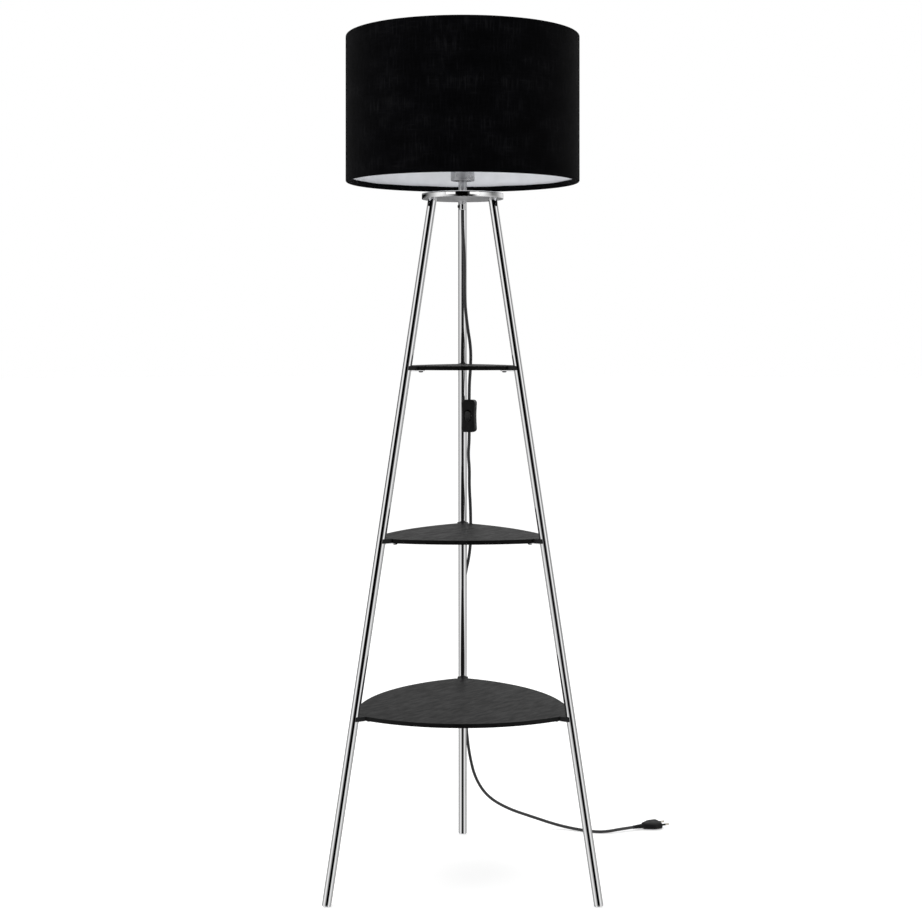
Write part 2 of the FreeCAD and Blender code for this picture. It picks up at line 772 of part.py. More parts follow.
def make_board(shelf):
    top = f"{shelf}_shelf_height"
    base = f"({top} - shelf_thickness)"
    middle = axis_radius(f"{top} - shelf_thickness / 2")
    turn = f"{shelf}_back_turn"
    sides = {
        "front": ("front", "90"),
        "back_right": ("back", f"(210 + {turn})"),
        "back_left": ("back", f"(330 - {turn})"),
    }
    rounds = []
    for side, (kind, azimuth) in sides.items():
        radius = f"{shelf}_{kind}_radius"
        centre = around(azimuth, f"{radius} + {shelf}_{kind}_inset - {middle}", 0, base)
        rounds.append(cylinder(f"{shelf}_side_{side}", f"2 * {radius}", "shelf_thickness", centre))
    flats = doc.addObject("Part::Prism", f"{shelf}_corner_flats")
    flats.Polygon = 3
    place = at(z=base, turn="rotationz(30)")
    radius = f"2 * ({middle} - corner_flat_setback)"
    bind(flats, Circumradius=radius, Height="shelf_thickness", Placement=place)
    blank = common(f"{shelf}_blank", flats, *rounds)
    doc.recompute()
    levels = (value(base), value(top))
    edges = enumerate(blank.Shape.Edges, start=1)
    chosen = [index for index, edge in edges if any(level(edge, height) for height in levels)]
    rounded = doc.addObject("Part::Fillet", f"{shelf}_rounded")
    rounded.Base = blank
    radius = value("shelf_round")
    rounded.Edges = [(index, radius, radius) for index in chosen]
    holes = [
        cylinder(
            f"{shelf}_board_hole_{leg}", "shelf_screw_diameter + 2 * press_clearance", "shelf_screw_depth + 0.5",
            around(azimuth, f"{middle} - shelf_screw_setback", 0, base),
        )
        for leg, azimuth in LEGS.items()
    ]
    keep(cut(f"{shelf}_board_piece", rounded, *holes), f"{shelf}_shelf")


def make_saddle(shelf, leg, azimuth):
    top = f"{shelf}_shelf_height"
    middle = axis_radius(f"{top} - shelf_thickness / 2")
    corner = around(azimuth, f"{middle} - corner_flat_setback", "-(saddle_width / 2)",
                    f"{top} - shelf_thickness")
    block = box(f"{shelf}_saddle_block_{leg}", "corner_flat_setback + saddle_wrap", "saddle_width",
                "shelf_thickness", corner)
    seat = leg_envelope(f"{shelf}_saddle_seat_{leg}", azimuth, "press_clearance")
    keep(cut(f"{shelf}_saddle_{leg}_piece", block, seat), f"{shelf}_saddle_{leg}")


def make_brackets(shelf):
    top = f"{shelf}_shelf_height"
    middle = axis_radius(f"{top} - shelf_thickness / 2")
    face = f"{top} - shelf_thickness"
    brackets = []
    screws = []
    for leg, azimuth in LEGS.items():
        corner = around(azimuth, f"{middle} - bracket_length", "-(bracket_width / 2)",
                        f"{face} - bracket_thickness")
        name = f"{shelf}_bracket_{leg}"
        strip = box(f"{name}_strip", "bracket_length", "bracket_width", "bracket_thickness", corner)
        screw_place = around(azimuth, f"{middle} - shelf_screw_setback", 0, f"{face} - bracket_thickness")
        hole = cylinder(f"{name}_hole", "shelf_screw_diameter + 2 * screw_clearance", "bracket_thickness",
                        screw_place)
        brackets.append(cut(name, strip, leg_envelope(f"{name}_weld", azimuth), hole))
        down = f"{screw_place} * {at(turn='rotationx(180)')}"
        head = ("shelf_screw_head_diameter", "shelf_screw_head_height")
        length = "bracket_thickness + shelf_screw_depth"
        screws.append(headed_screw(f"{shelf}_screw_{leg}", "shelf_screw_diameter", length, *head, down, 1))
    keep(group(f"{shelf}_bracket_group", *brackets), f"{shelf}_brackets")
    keep(group(f"{shelf}_screw_group", *screws), f"{shelf}_shelf_screws")


for shelf in SHELVES:
    make_board(shelf)
    for leg, azimuth in LEGS.items():
        make_saddle(shelf, leg, azimuth)
    make_brackets(shelf)


# Switch on the cord: two shells with waisted sides, a dished rocker on a pin, and two contact strips.

SWITCH = at("switch_across", "switch_back", "switch_height", "rotationz(-switch_turn)")
ROCKER_PIVOT = f"{SWITCH} * {at(y='-(switch_half_depth - pivot_depth)')}"


def switch_outline(sketch, inset):
    """The switch seen from the front: straight ends, and sides drawn in at the waist."""
    half_width = f"(switch_width / 2 - {inset})"
    half_length = f"(switch_length / 2 - {inset})"
    waist = f"({half_width} - switch_waist)"
    corners = [(half_width, half_length), (f"-{half_width}", half_length)]
    corners += [(f"-{waist}", "0"), (f"-{half_width}", f"-{half_length}")]
    corners += [(half_width, f"-{half_length}"), (waist, "0")]
    outline(sketch, corners)


def make_switch_shell(name, label, front, openings):
    """One half of the switch: a tray with its open side on the parting plane."""
    body = doc.addObject("PartDesign::Body", name)
    sketch = sketch_on(body, "XZ_Plane", f"{name}_outline")
    switch_outline(sketch, "0")
    block = body.newObject("PartDesign::Pad", f"{name}_block")
    block.Profile = sketch
    block.Reversed = not front
    bind(block, Length="switch_half_depth")
    ends = value("switch_length / 2")
    half = value("switch_width / 2")

    def upright(edge):
        seen = edge.BoundBox
        outer = abs(abs(seen.Center.x) - half) < 0.01 and abs(abs(seen.Center.z) - ends) < 0.01
        return outer and seen.YLength > 1

    round_edges(body, "switch_corner", upright)
    depth = value("switch_half_depth") * (-1 if front else 1)
    round_edges(body, "switch_edge_round", lambda edge: edge.BoundBox.YLength < 0.01
                and abs(edge.BoundBox.YMin - depth) < 0.01)
    doc.recompute()
    hollow_sketch = sketch_on(body, "XZ_Plane", f"{name}_hollow_outline")
    switch_outline(hollow_sketch, "switch_hollow_inset")
    hollow = body.newObject("PartDesign::Pocket", f"{name}_hollow")
    hollow.Profile = hollow_sketch
    hollow.Reversed = front
    bind(hollow, Length="switch_half_depth - switch_wall")
    bind(body, Placement=SWITCH)
    keep(cut(f"{name}_piece", body, *openings), label)


def oval(name, width, length, depth, place):
    """A flat-ended oval block, with its face on the place's origin and its depth towards +Y."""
    straight = f"(({length}) - ({width}))"
    corner = f"{place} * {at(f'-(({width}) / 2)', 0, f'-({straight} / 2)')}"
    parts = [box(f"{name}_middle", width, depth, straight, corner)]
    for end, way in (("top", 1), ("bottom", -1)):
        centre = f"{place} * {at(z=f'{way} * {straight} / 2', turn='rotationx(-90)')}"
        parts.append(cylinder(f"{name}_{end}", width, depth, centre))
    return fuse(name, *parts)


def make_rocker():
    tilted = f"{ROCKER_PIVOT} * {at(turn='rotationx(rocker_tilt)')}"
    face = f"{tilted} * {at(y='-(pivot_depth + rocker_stand)')}"
    block = oval("rocker_block", "rocker_width", "rocker_length", "rocker_depth + rocker_stand", face)
    sink = f"(rocker_dish_radius - sqrt(rocker_dish_radius ^ 2 - rocker_length ^ 2 / 4))"
    centre = f"{face} * {at('-rocker_width', f'{sink} - rocker_dish_radius', 0, 'rotationy(90)')}"
    dish = cylinder("rocker_dish", "2 * rocker_dish_radius", "2 * rocker_width", centre)
    start = f"{ROCKER_PIVOT} * {at('-rocker_width', 0, 0, 'rotationy(90)')}"
    hole = cylinder("rocker_hole", "pivot_diameter + 2 * running_clearance",
                    "2 * rocker_width", start)
    keep(cut("rocker_piece", block, dish, hole), "switch_rocker")


def make_switch():
    front = f"{SWITCH} * {at(y='-(switch_half_depth + 1)')}"
    window = oval("switch_window", "rocker_width + 2 * rocker_gap", "rocker_length + 2 * rocker_gap",
                  "switch_wall + 2", front)
    holes = []
    screws = []
    for end, way in (("top", 1), ("bottom", -1)):
        turn = "rotationx(-90)"
        offset = f"{way} * switch_screw_offset"
        place = f"{SWITCH} * {at(y='switch_half_depth - switch_screw_head_height', z=offset, turn=turn)}"
        seat = cylinder(f"switch_screw_seat_{end}", "switch_screw_head_diameter + 2 * screw_clearance",
                        "2 * switch_screw_head_height", place)
        hole = cylinder(f"switch_screw_hole_{end}", "switch_screw_diameter + 2 * press_clearance",
                        "2 * switch_half_depth", f"{place} * {at(z='-switch_half_depth')}")
        holes += [seat, hole]
        head = ("switch_screw_head_diameter", "switch_screw_head_height")
        length = "switch_half_depth - switch_screw_head_height"
        screws.append(headed_screw(f"switch_screw_{end}", "switch_screw_diameter", length, *head, place, 1))
    make_switch_shell("switch_cover_body", "switch_cover", True, [window])
    make_switch_shell("switch_base_body", "switch_base", False, holes)
    keep(group("switch_screw_group", *screws), "switch_screws")
    length = "(switch_width - 2 * (switch_hollow_inset + switch_waist + press_clearance))"
    start = f"{ROCKER_PIVOT} * {at(f'-({length} / 2)', 0, 0, 'rotationy(90)')}"
    keep(cylinder("pivot", "pivot_diameter", length, start), "switch_pivot_pin")
    strips = []
    for end, way in (("top", 1), ("bottom", -1)):
        depth = "switch_half_depth - switch_wall - switch_contact_thickness"
        base = f"{way} * switch_contact_offset - switch_contact_length / 2"
        corner = f"{SWITCH} * {at('-(switch_contact_width / 2)', depth, base)}"
        strips.append(box(f"switch_contact_{end}", "switch_contact_width", "switch_contact_thickness",
                          "switch_contact_length", corner))
    keep(group("switch_contact_group", *strips), "switch_contacts")


make_rocker()
make_switch()


# Plug: a flat two-pin plug that lies on the floor, with a tapered relief where the cord goes in.

PLUG = at("plug_across", "plug_back", "plug_thickness / 2", "rotationz(plug_turn)")


def make_plug():
    body = doc.addObject("PartDesign::Body", "plug_housing")
    sketch = sketch_on(body, "XY_Plane", "plug_outline")
    half = "(plug_width / 2)"
    neck = "(plug_neck_width / 2)"
    shoulder = "(plug_length * 0.55)"
    corners = [("0", f"-{neck}"), (shoulder, f"-{half}"), ("plug_length", f"-{half}")]
    corners += [("plug_length", half), (shoulder, half), ("0", neck)]
    outline(sketch, corners)
    pad = body.newObject("PartDesign::Pad", "plug_block")
    pad.Profile = sketch
    pad.Midplane = True
    bind(pad, Length="plug_thickness")
    face = value("plug_length")
    round_edges(body, "plug_round", lambda edge: edge.BoundBox.XMin < face - 1)
    bind(body, Placement=PLUG)
    holes = []
    pins = []
    for name, way in (("left", 1), ("right", -1)):
        base = f"{PLUG} * {at('plug_length', f'{way} * pin_spacing / 2', 0, 'rotationy(90)')}"
        root = f"{base} * {at(z='-pin_root')}"
        pin = cylinder(f"pin_{name}_shank", "pin_diameter", "pin_length", base)
        pins.append(fuse(f"pin_{name}", pin, cylinder(f"pin_{name}_root", "pin_root_diameter", "pin_root", root)))
        hole = "pin_root_diameter + 2 * press_clearance"
        holes.append(cylinder(f"pin_hole_{name}", hole, "2 * pin_root", root))
    keep(cut("plug_body_piece", body, *holes), "plug_body")
    keep(group("plug_pin_group", *pins), "plug_pins")
    place = f"{PLUG} * {at('-relief_length', turn='rotationy(90)')}"
    relief = cone("relief", "relief_tip_diameter", "relief_diameter", "relief_length", place)
    keep(relief, "plug_relief")


make_plug()


# Cord: it hangs from the grip down past the upper shelf to the switch, then behind the rear leg to the
# floor, where it lies in a loose curve up to the plug. Points of the route, each x, y, z.


def global_point(place, x=0, y=0, z=0):
    """A point given in a placement formula's own axes."""
    return sheet.evalExpression(sized(place)).multVec(FreeCAD.Vector(x, y, z))


HALF_SWITCH = value("switch_length / 2")

upper_route = [
    FreeCAD.Vector(0, 0, value(GRIP_BASE)),
    FreeCAD.Vector(0, 0, 1182),
    FreeCAD.Vector(3.8, 9, 1124),
    FreeCAD.Vector(3.2, 38, 1060),
    FreeCAD.Vector(8.2, 72, 1008),
    FreeCAD.Vector(15.6, 96.5, 964),
    FreeCAD.Vector(15, 104, 926),
    global_point(SWITCH, 0, 0, HALF_SWITCH + value("run_above_switch")),
    global_point(SWITCH, 0, 0, HALF_SWITCH),
]

lower_route = [
    global_point(SWITCH, 0, 0, -HALF_SWITCH),
    global_point(SWITCH, 0, 0, -HALF_SWITCH - value("run_below_switch")),
    FreeCAD.Vector(10.4, 104.5, 765),
    FreeCAD.Vector(13, 115, 736),
    FreeCAD.Vector(12.6, 131, 700),
    FreeCAD.Vector(15, 148, 662),
    FreeCAD.Vector(15.6, 158, 624),
    FreeCAD.Vector(15.4, 168, 592),
    FreeCAD.Vector(12.6, 185, 560),
    FreeCAD.Vector(5, 200, 524),
    FreeCAD.Vector(-1, 212, 474),
    FreeCAD.Vector(-2, 222, 414),
    FreeCAD.Vector(0.5, 229, 354),
    FreeCAD.Vector(2, 237, 298),
    FreeCAD.Vector(6, 245, 248),
    FreeCAD.Vector(8.2, 252, 204),
    FreeCAD.Vector(13.4, 257, 160),
    FreeCAD.Vector(24.5, 264, 112),
    FreeCAD.Vector(49, 271, 73),
    FreeCAD.Vector(90, 282, 46),
    FreeCAD.Vector(140, 294, 26),
    FreeCAD.Vector(188, 301, 8),
    FreeCAD.Vector(232, 285, 3),
    FreeCAD.Vector(276, 268, 3),
    global_point(PLUG, -value("relief_length + run_to_plug")),
    global_point(PLUG, -value("relief_length")),
]


def cord_path(route):
    """Straight runs joined by tangent arcs, each arc as large as its two runs allow."""
    edges = []
    radii = []
    here = route[0]
    for before, corner, after in zip(route, route[1:], route[2:]):
        arriving = corner - before
        leaving = after - corner
        setback = 0.45 * min(arriving.Length, leaving.Length)
        turn = arriving.getAngle(leaving)
        radius = setback / math.tan(turn / 2)
        arriving.normalize()
        leaving.normalize()
        inward = leaving - arriving
        inward.normalize()
        start = corner - arriving * setback
        finish = corner + leaving * setback
        middle = corner + inward * (math.hypot(setback, radius) - radius)
        edges.append(Part.LineSegment(here, start).toShape())
        edges.append(Part.Arc(start, middle, finish).toShape())
        radii.append(radius)
        here = finish
    edges.append(Part.LineSegment(here, route[-1]).toShape())
    return Part.Wire(edges), radii


def make_cord(name, route):
    path, radii = cord_path(route)
    radius = value("cord_diameter / 2")
    direction = route[1] - route[0]
    profile = Part.Wire([Part.Circle(route[0], direction, radius).toShape()])
    solid = path.makePipeShell([profile], True, False)
    expected = math.pi * radius ** 2 * path.Length
    print(f"{name}: length {path.Length:.1f}, volume {solid.Volume:.0f} of {expected:.0f},"
          f" least radius {min(radii):.0f}, radii {[round(r) for r in radii]}")
    keep(feature(f"{name}_tube", solid), name)


make_cord("upper_cord", upper_route)
make_cord("lower_cord", lower_route)


# Check and write every piece.

doc.recompute()
for item in doc.Objects:
    if "Invalid" in item.State or "Error" in item.State:
        raise RuntimeError(f"{item.Name} failed: {item.State}")
for piece in pieces:
    if piece.Shape.isNull() or not piece.Shape.isValid() or not piece.Shape.Solids:
        raise RuntimeError(f"{piece.Label} has no valid shape")

os.makedirs("parts", exist_ok=True)
for piece in pieces:
    piece.Shape.exportStep(f"parts/{piece.Label}.step")
print(f"{len(pieces)} pieces, {sum(len(piece.Shape.Solids) for piece in pieces)} solids")
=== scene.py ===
from math import asin, atan, cos, degrees, hypot, pi, radians, sin, sqrt, tan

import bmesh
import bpy
from mathutils import Matrix, Vector


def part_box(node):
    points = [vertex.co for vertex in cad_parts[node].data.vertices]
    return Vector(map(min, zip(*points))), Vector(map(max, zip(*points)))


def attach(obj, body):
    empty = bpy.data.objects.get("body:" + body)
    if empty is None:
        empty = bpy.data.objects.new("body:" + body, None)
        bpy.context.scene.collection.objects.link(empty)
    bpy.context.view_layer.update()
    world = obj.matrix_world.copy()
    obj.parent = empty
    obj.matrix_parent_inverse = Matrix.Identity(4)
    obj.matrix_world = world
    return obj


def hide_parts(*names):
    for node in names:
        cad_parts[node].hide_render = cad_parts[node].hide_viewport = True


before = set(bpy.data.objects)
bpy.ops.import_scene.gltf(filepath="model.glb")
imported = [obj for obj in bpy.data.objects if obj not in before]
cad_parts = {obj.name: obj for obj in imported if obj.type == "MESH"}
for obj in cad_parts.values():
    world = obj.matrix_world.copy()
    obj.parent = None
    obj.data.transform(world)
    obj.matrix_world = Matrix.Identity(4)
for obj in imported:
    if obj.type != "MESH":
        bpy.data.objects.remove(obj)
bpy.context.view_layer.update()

# Legs: three straight steel tubes, chrome-plated and polished. They lean inwards and are screwed to
# the plate from above. The lower end of each is closed by a pressed-in chromed cap.

LEGS = {"rear": 90, "front_left": 210, "front_right": 330}
LEG_RADIUS = 0.008
LEG_BORE = 0.0065
LEG_TOP = 0.0622
LEG_FOOT = 0.2724
LEG_EDGE = 0.0002
PLATE_HEIGHT = 1.235
LEG_TILT = atan((LEG_FOOT - LEG_TOP) / PLATE_HEIGHT)
FOOT_ROUND = 0.0025
FOOT_LIP = 0.004
FOOT_CENTRE = 0.002
FOOT_SPIGOT = LEG_BORE - 0.00005
SPIGOT_TOP = 0.016
FOOT_FLAT = 0.0004
FOOT_DROP = (LEG_RADIUS - FOOT_ROUND) * sin(LEG_TILT) + FOOT_ROUND * (1 - cos(LEG_TILT))
FOOT_END = (FOOT_DROP - FOOT_FLAT) / cos(LEG_TILT)
SMOOTH_BELOW = radians(30)
METAL = {"Metallic": 1.0}


def feed(owner, node, inputs):
    """Sets a node's inputs, by name or number, or links them to other nodes' outputs."""
    for socket, value in inputs.items():
        if isinstance(value, bpy.types.NodeSocket):
            owner.node_tree.links.new(value, node.inputs[socket])
        else:
            node.inputs[socket].default_value = value


def new_node(owner, kind, output, inputs):
    """An output of a new node of a finish or of the world."""
    node = owner.node_tree.nodes.new("ShaderNode" + kind)
    feed(owner, node, inputs)
    return node.outputs[output]


def feed_shader(finish, inputs):
    feed(finish, finish.node_tree.nodes["Principled BSDF"], inputs)


def new_finish(name, colour, roughness, more=None):
    """A finish with its plain colour and roughness, and more of its shader's values by name."""
    finish = bpy.data.materials.new(name)
    finish.use_nodes = True
    feed_shader(finish, {"Base Color": (*colour, 1), "Roughness": roughness, **(more or {})})
    return finish


def surface_place(finish, stretch=(1, 1, 1), turn=0):
    """Where a texture reads the surface: the piece's own metres, turned and stretched."""
    mapping = finish.node_tree.nodes.new("ShaderNodeMapping")
    mapping.vector_type = "TEXTURE"
    own = new_node(finish, "TexCoord", "Object", {})
    scale = [1 / share for share in stretch]
    feed(finish, mapping, {"Vector": own, "Rotation": (0, 0, radians(turn)), "Scale": scale})
    return mapping.outputs["Vector"]


def cloudiness(finish, scale, detail, roughness=0.5, place=None):
    """A noise texture of so many bumps per metre."""
    inputs = {"Scale": scale, "Detail": detail, "Roughness": roughness}
    return new_node(finish, "TexNoise", "Fac", {"Vector": place or surface_place(finish), **inputs})


def between(owner, factor, low, high, start, end):
    """A number that runs from low to high as the factor runs from start to end."""
    inputs = {"Value": factor, "From Min": start, "From Max": end, "To Min": low, "To Max": high}
    return new_node(owner, "MapRange", "Result", inputs)


def shades(owner, factor, stops):
    """A colour that runs through stops, each a position and a colour, as the factor rises."""
    ramp = owner.node_tree.nodes.new("ShaderNodeValToRGB")
    feed(owner, ramp, {"Fac": factor})
    elements = ramp.color_ramp.elements
    while len(elements) < len(stops):
        elements.new(0.5)
    for element, (position, colour) in zip(elements, stops):
        element.position = position
        element.color = (*colour, 1)
    return ramp.outputs["Color"]


def coloured(finish, factor, *stops):
    feed_shader(finish, {"Base Color": shades(finish, factor, stops)})


def roughened(finish, factor, low, high, start, end):
    feed_shader(finish, {"Roughness": between(finish, factor, low, high, start, end)})


def relief(finish, height, depth):
    """Raises the surface by up to a depth in metres, without changing the mesh."""
    inputs = {"Strength": 1.0, "Distance": depth, "Height": height}
    feed_shader(finish, {"Normal": new_node(finish, "Bump", "Normal", inputs)})


# Bright plating: a mirror with a faint polishing haze and the waviness of drawn tube.
chrome = new_finish("polished_chrome", (0.95, 0.95, 0.955), 0.03, METAL)
roughened(chrome, cloudiness(chrome, 45, 5), 0.015, 0.04, 0.35, 0.75)
relief(chrome, cloudiness(chrome, 26, 1), 0.00002)


def mesh_of(name, shape):
    """The mesh of a bmesh, which is freed."""
    mesh = bpy.data.meshes.new(name)
    shape.to_mesh(mesh)
    shape.free()
    return mesh


def placed(name, data):
    """A new object in the scene."""
    item = bpy.data.objects.new(name, data)
    bpy.context.scene.collection.objects.link(item)
    return item


def made_piece(name, shape, finish, node=None, body="lamp"):
    """A piece from a bmesh, riding on a body of the frame in the place of a node's solid."""
    bmesh.ops.recalc_face_normals(shape, faces=shape.faces)
    mesh = mesh_of(name, shape)
    mesh.materials.append(finish)
    for polygon in mesh.polygons:
        polygon.use_smooth = True
    mesh.set_sharp_from_angle(angle=SMOOTH_BELOW)
    piece = placed(name, mesh)
    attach(piece, body)
    if node:
        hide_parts(node)
    return piece


def skin(loops, ends=True, ring=False, shape=None):
    """Joins loops of as many points each into a skin. ring joins the last to the first."""
    if shape is None:
        shape = bmesh.new()
    rows = [[shape.verts.new(point) for point in loop] for loop in loops]
    pairs = list(zip(rows, rows[1:]))
    if ring:
        pairs.append((rows[-1], rows[0]))
    for low, high in pairs:
        for here in range(len(low)):
            after = (here + 1) % len(low)
            shape.faces.new((low[here], low[after], high[after], high[here]))
    if ends and not ring:
        shape.faces.new(rows[0][::-1])
        shape.faces.new(rows[-1])
    return shape


def polar(radius, angle, height=0.0):
    return Vector((radius * cos(angle), radius * sin(angle), height))


def angles_round(steps):
    return [2 * pi * step / steps for step in range(steps)]


def turned(outline, place=Matrix(), steps=96, ring=False, shape=None):
    """Turns an outline of radii and heights about its own Z axis, into place."""
    angles = angles_round(steps)
    loops = [[place @ polar(reach, angle, height) for angle in angles] for reach, height in outline]
    return skin(loops, ring=ring, shape=shape)


def rounded(radius, height, size, steps, top=False):
    """A turned outline's rounded outer corner, at its foot or at its top."""
    start, centre = (0, height - size) if top else (-90, height + size)
    angles = [radians(start + 90 * step / steps) for step in range(steps + 1)]
    return [(radius - size + size * cos(angle), centre + size * sin(angle)) for angle in angles]


def moved(x, y, z):
    return Matrix.Translation((x, y, z))


def spun(angle, axis="Z"):
    return Matrix.Rotation(radians(angle), 4, axis)


def along_leg(azimuth, distance=0.0):
    """A place on a leg's axis, so far above the point where the axis meets the floor."""
    lean = moved(LEG_FOOT, 0, 0) @ Matrix.Rotation(-LEG_TILT, 4, "Y")
    return spun(azimuth) @ lean @ moved(0, 0, distance)


for side, azimuth in LEGS.items():
    low = FOOT_END + FOOT_LIP
    high = PLATE_HEIGHT / cos(LEG_TILT)
    outline = [(LEG_BORE, low), (LEG_RADIUS - LEG_EDGE, low), (LEG_RADIUS, low + LEG_EDGE)]
    outline += [(LEG_RADIUS, high), (LEG_BORE, high)]
    tube = turned(outline, along_leg(azimuth), ring=True)
    # The upper end is cut level, to stand flat against the plate.
    axis = along_leg(azimuth).to_3x3() @ Vector((0, 0, 1))
    for vertex in tube.verts:
        if vertex.co.z > PLATE_HEIGHT / 2:
            vertex.co += axis * ((PLATE_HEIGHT - vertex.co.z) / axis.z)
    made_piece(f"leg_tube_{side}", tube, chrome, f"leg_{side}")

    outline = [(FOOT_CENTRE, 0)] + rounded(LEG_RADIUS, 0, FOOT_ROUND, 8)
    outline += [(LEG_RADIUS, FOOT_LIP - LEG_EDGE), (LEG_RADIUS - LEG_EDGE, FOOT_LIP)]
    outline += [(FOOT_SPIGOT, FOOT_LIP), (FOOT_SPIGOT, SPIGOT_TOP), (FOOT_CENTRE, SPIGOT_TOP)]
    end_cap = turned(outline, along_leg(azimuth, FOOT_END))
    # The cap stands on a small level flat.
    for vertex in end_cap.verts:
        vertex.co.z = max(vertex.co.z, 0)
    made_piece(f"leg_end_{side}", end_cap, chrome, f"foot_cap_{side}")

# Plate: a 5 mm steel disc, zinc-plated satin grey, seen from below. The legs stand under it on
# welded-in threaded plugs, each held by a screw through the disc. A pressed cap of chromed sheet
# covers its top and rim.

CAP_RADIUS = 0.074
CAP_HEIGHT = 0.010
CAP_WALL = 0.0012
CAP_BEND = 0.0008
CAP_RIM = 0.0003
CAP_SHOULDER = 0.001
STEM_RADIUS = 0.005
STEM_HOLE = STEM_RADIUS + 0.00005


def dress(finish, *names):
    """Gives CAD pieces a finish."""
    for name in names:
        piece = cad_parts[name]
        piece.data.materials.clear()
        piece.data.materials.append(finish)
        for polygon in piece.data.polygons:
            polygon.material_index = 0


# Zinc-plated steel: grey, with the fine cloudy grain of the bath.
zinc = new_finish("satin_zinc", (0.5, 0.5, 0.51), 0.45, {"Metallic": 0.6})
grain = cloudiness(zinc, 320, 6)
coloured(zinc, grain, (0.3, (0.46, 0.46, 0.47)), (0.7, (0.6, 0.6, 0.61)))
roughened(zinc, grain, 0.4, 0.52, 0.3, 0.7)
relief(zinc, grain, 0.00001)
dress(zinc, "leg_plate", "leg_inserts", "leg_screws", "stem_nut", "stem")

inside = CAP_RADIUS - CAP_WALL
under = CAP_HEIGHT - CAP_WALL
outline = [(inside, 0)] + rounded(CAP_RADIUS, 0, CAP_RIM, 3)
outline += rounded(CAP_RADIUS, CAP_HEIGHT, CAP_SHOULDER, 6, top=True)
outline += [(STEM_HOLE, CAP_HEIGHT), (STEM_HOLE, under), (inside - CAP_BEND, under)]
outline += [(inside, under - CAP_BEND)]
cap = turned(outline, moved(0, 0, PLATE_HEIGHT), 160, ring=True)
plate_cap = made_piece("plate_cap", cap, chrome, "top_cap")

# Stem: a threaded steel tube through the plate, with the cord inside it. A satin-plated sleeve
# covers it above the plate, and a chromed grip screws onto its lower end, where a black nylon
# screw from the side holds the cord.

SLEEVE_RADIUS = 0.0077
SLEEVE_LENGTH = 0.023
SLEEVE_ROUND = 0.0004
GRIP_RADIUS = 0.0059
GRIP_LENGTH = 0.0195
GRIP_BASE = PLATE_HEIGHT - GRIP_LENGTH
GRIP_THREAD = GRIP_LENGTH - 0.008
GRIP_ROUND = 0.0012
GRIP_RIM = 0.0003
GRIP_FUNNEL = 0.0008
GRIP_SCREW_HEIGHT = 0.0065
CORD_THICKNESS = 0.0058
CORD_HOLE = CORD_THICKNESS / 2 + 0.00025
SCREW_TIP = 0.0002
SCREW_SIDE = 0.45
SCREW_DOME = 0.97
CROSS_LENGTH = 1.25
SLOT_TURN = 20

# Brushed and satin-plated sheet: fine rings round the axis, and a cloudy sheen.
satin = new_finish("satin_plated_steel", (0.55, 0.55, 0.56), 0.3, METAL)
rings = cloudiness(satin, 60, 5, place=surface_place(satin, (1, 1, 60)))
coloured(satin, rings, (0.3, (0.48, 0.48, 0.49)), (0.7, (0.62, 0.62, 0.63)))
roughened(satin, cloudiness(satin, 60, 2), 0.24, 0.38, 0.3, 0.7)
relief(satin, rings, 0.00002)

base = PLATE_HEIGHT + CAP_HEIGHT
top = base + SLEEVE_LENGTH
outline = [(STEM_HOLE, base)] + rounded(SLEEVE_RADIUS, base, SLEEVE_ROUND, 4)
outline += rounded(SLEEVE_RADIUS, top, SLEEVE_ROUND, 4, top=True) + [(STEM_HOLE, top)]
made_piece("sleeve", turned(outline, ring=True), satin, "stem_sleeve")

outline = [(CORD_HOLE, GRIP_THREAD), (CORD_HOLE, GRIP_FUNNEL), (CORD_HOLE + GRIP_FUNNEL, 0)]
outline += rounded(GRIP_RADIUS, 0, GRIP_ROUND, 6)
outline += rounded(GRIP_RADIUS, GRIP_LENGTH, GRIP_RIM, 3, top=True)
outline += [(STEM_HOLE, GRIP_LENGTH), (STEM_HOLE, GRIP_THREAD)]
grip = turned(outline, moved(0, 0, GRIP_BASE), 64, ring=True)
made_piece("cord_grip_turned", grip, chrome, "cord_grip")


def moulded_black(name, roughness, grain_size, grain_depth, gloss):
    """Black moulded plastic: a spark-eroded grain, and a roughness that varies with handling."""
    colour = (0.008, 0.008, 0.0085)
    finish = new_finish(name, colour, roughness, {"Specular IOR Level": gloss})
    handled = cloudiness(finish, 90, 3)
    roughened(finish, handled, roughness - 0.07, roughness + 0.1, 0.3, 0.7)
    coloured(finish, handled, (0.3, (0.0065, 0.0065, 0.007)), (0.7, (0.010, 0.010, 0.0105)))
    relief(finish, cloudiness(finish, grain_size, 3, 0.6), grain_depth)
    return finish


grained_black = moulded_black("grained_black_plastic", 0.42, 1800, 0.00004, gloss=0.2)
smooth_black = moulded_black("smooth_black_plastic", 0.2, 2600, 0.00001, gloss=0.6)


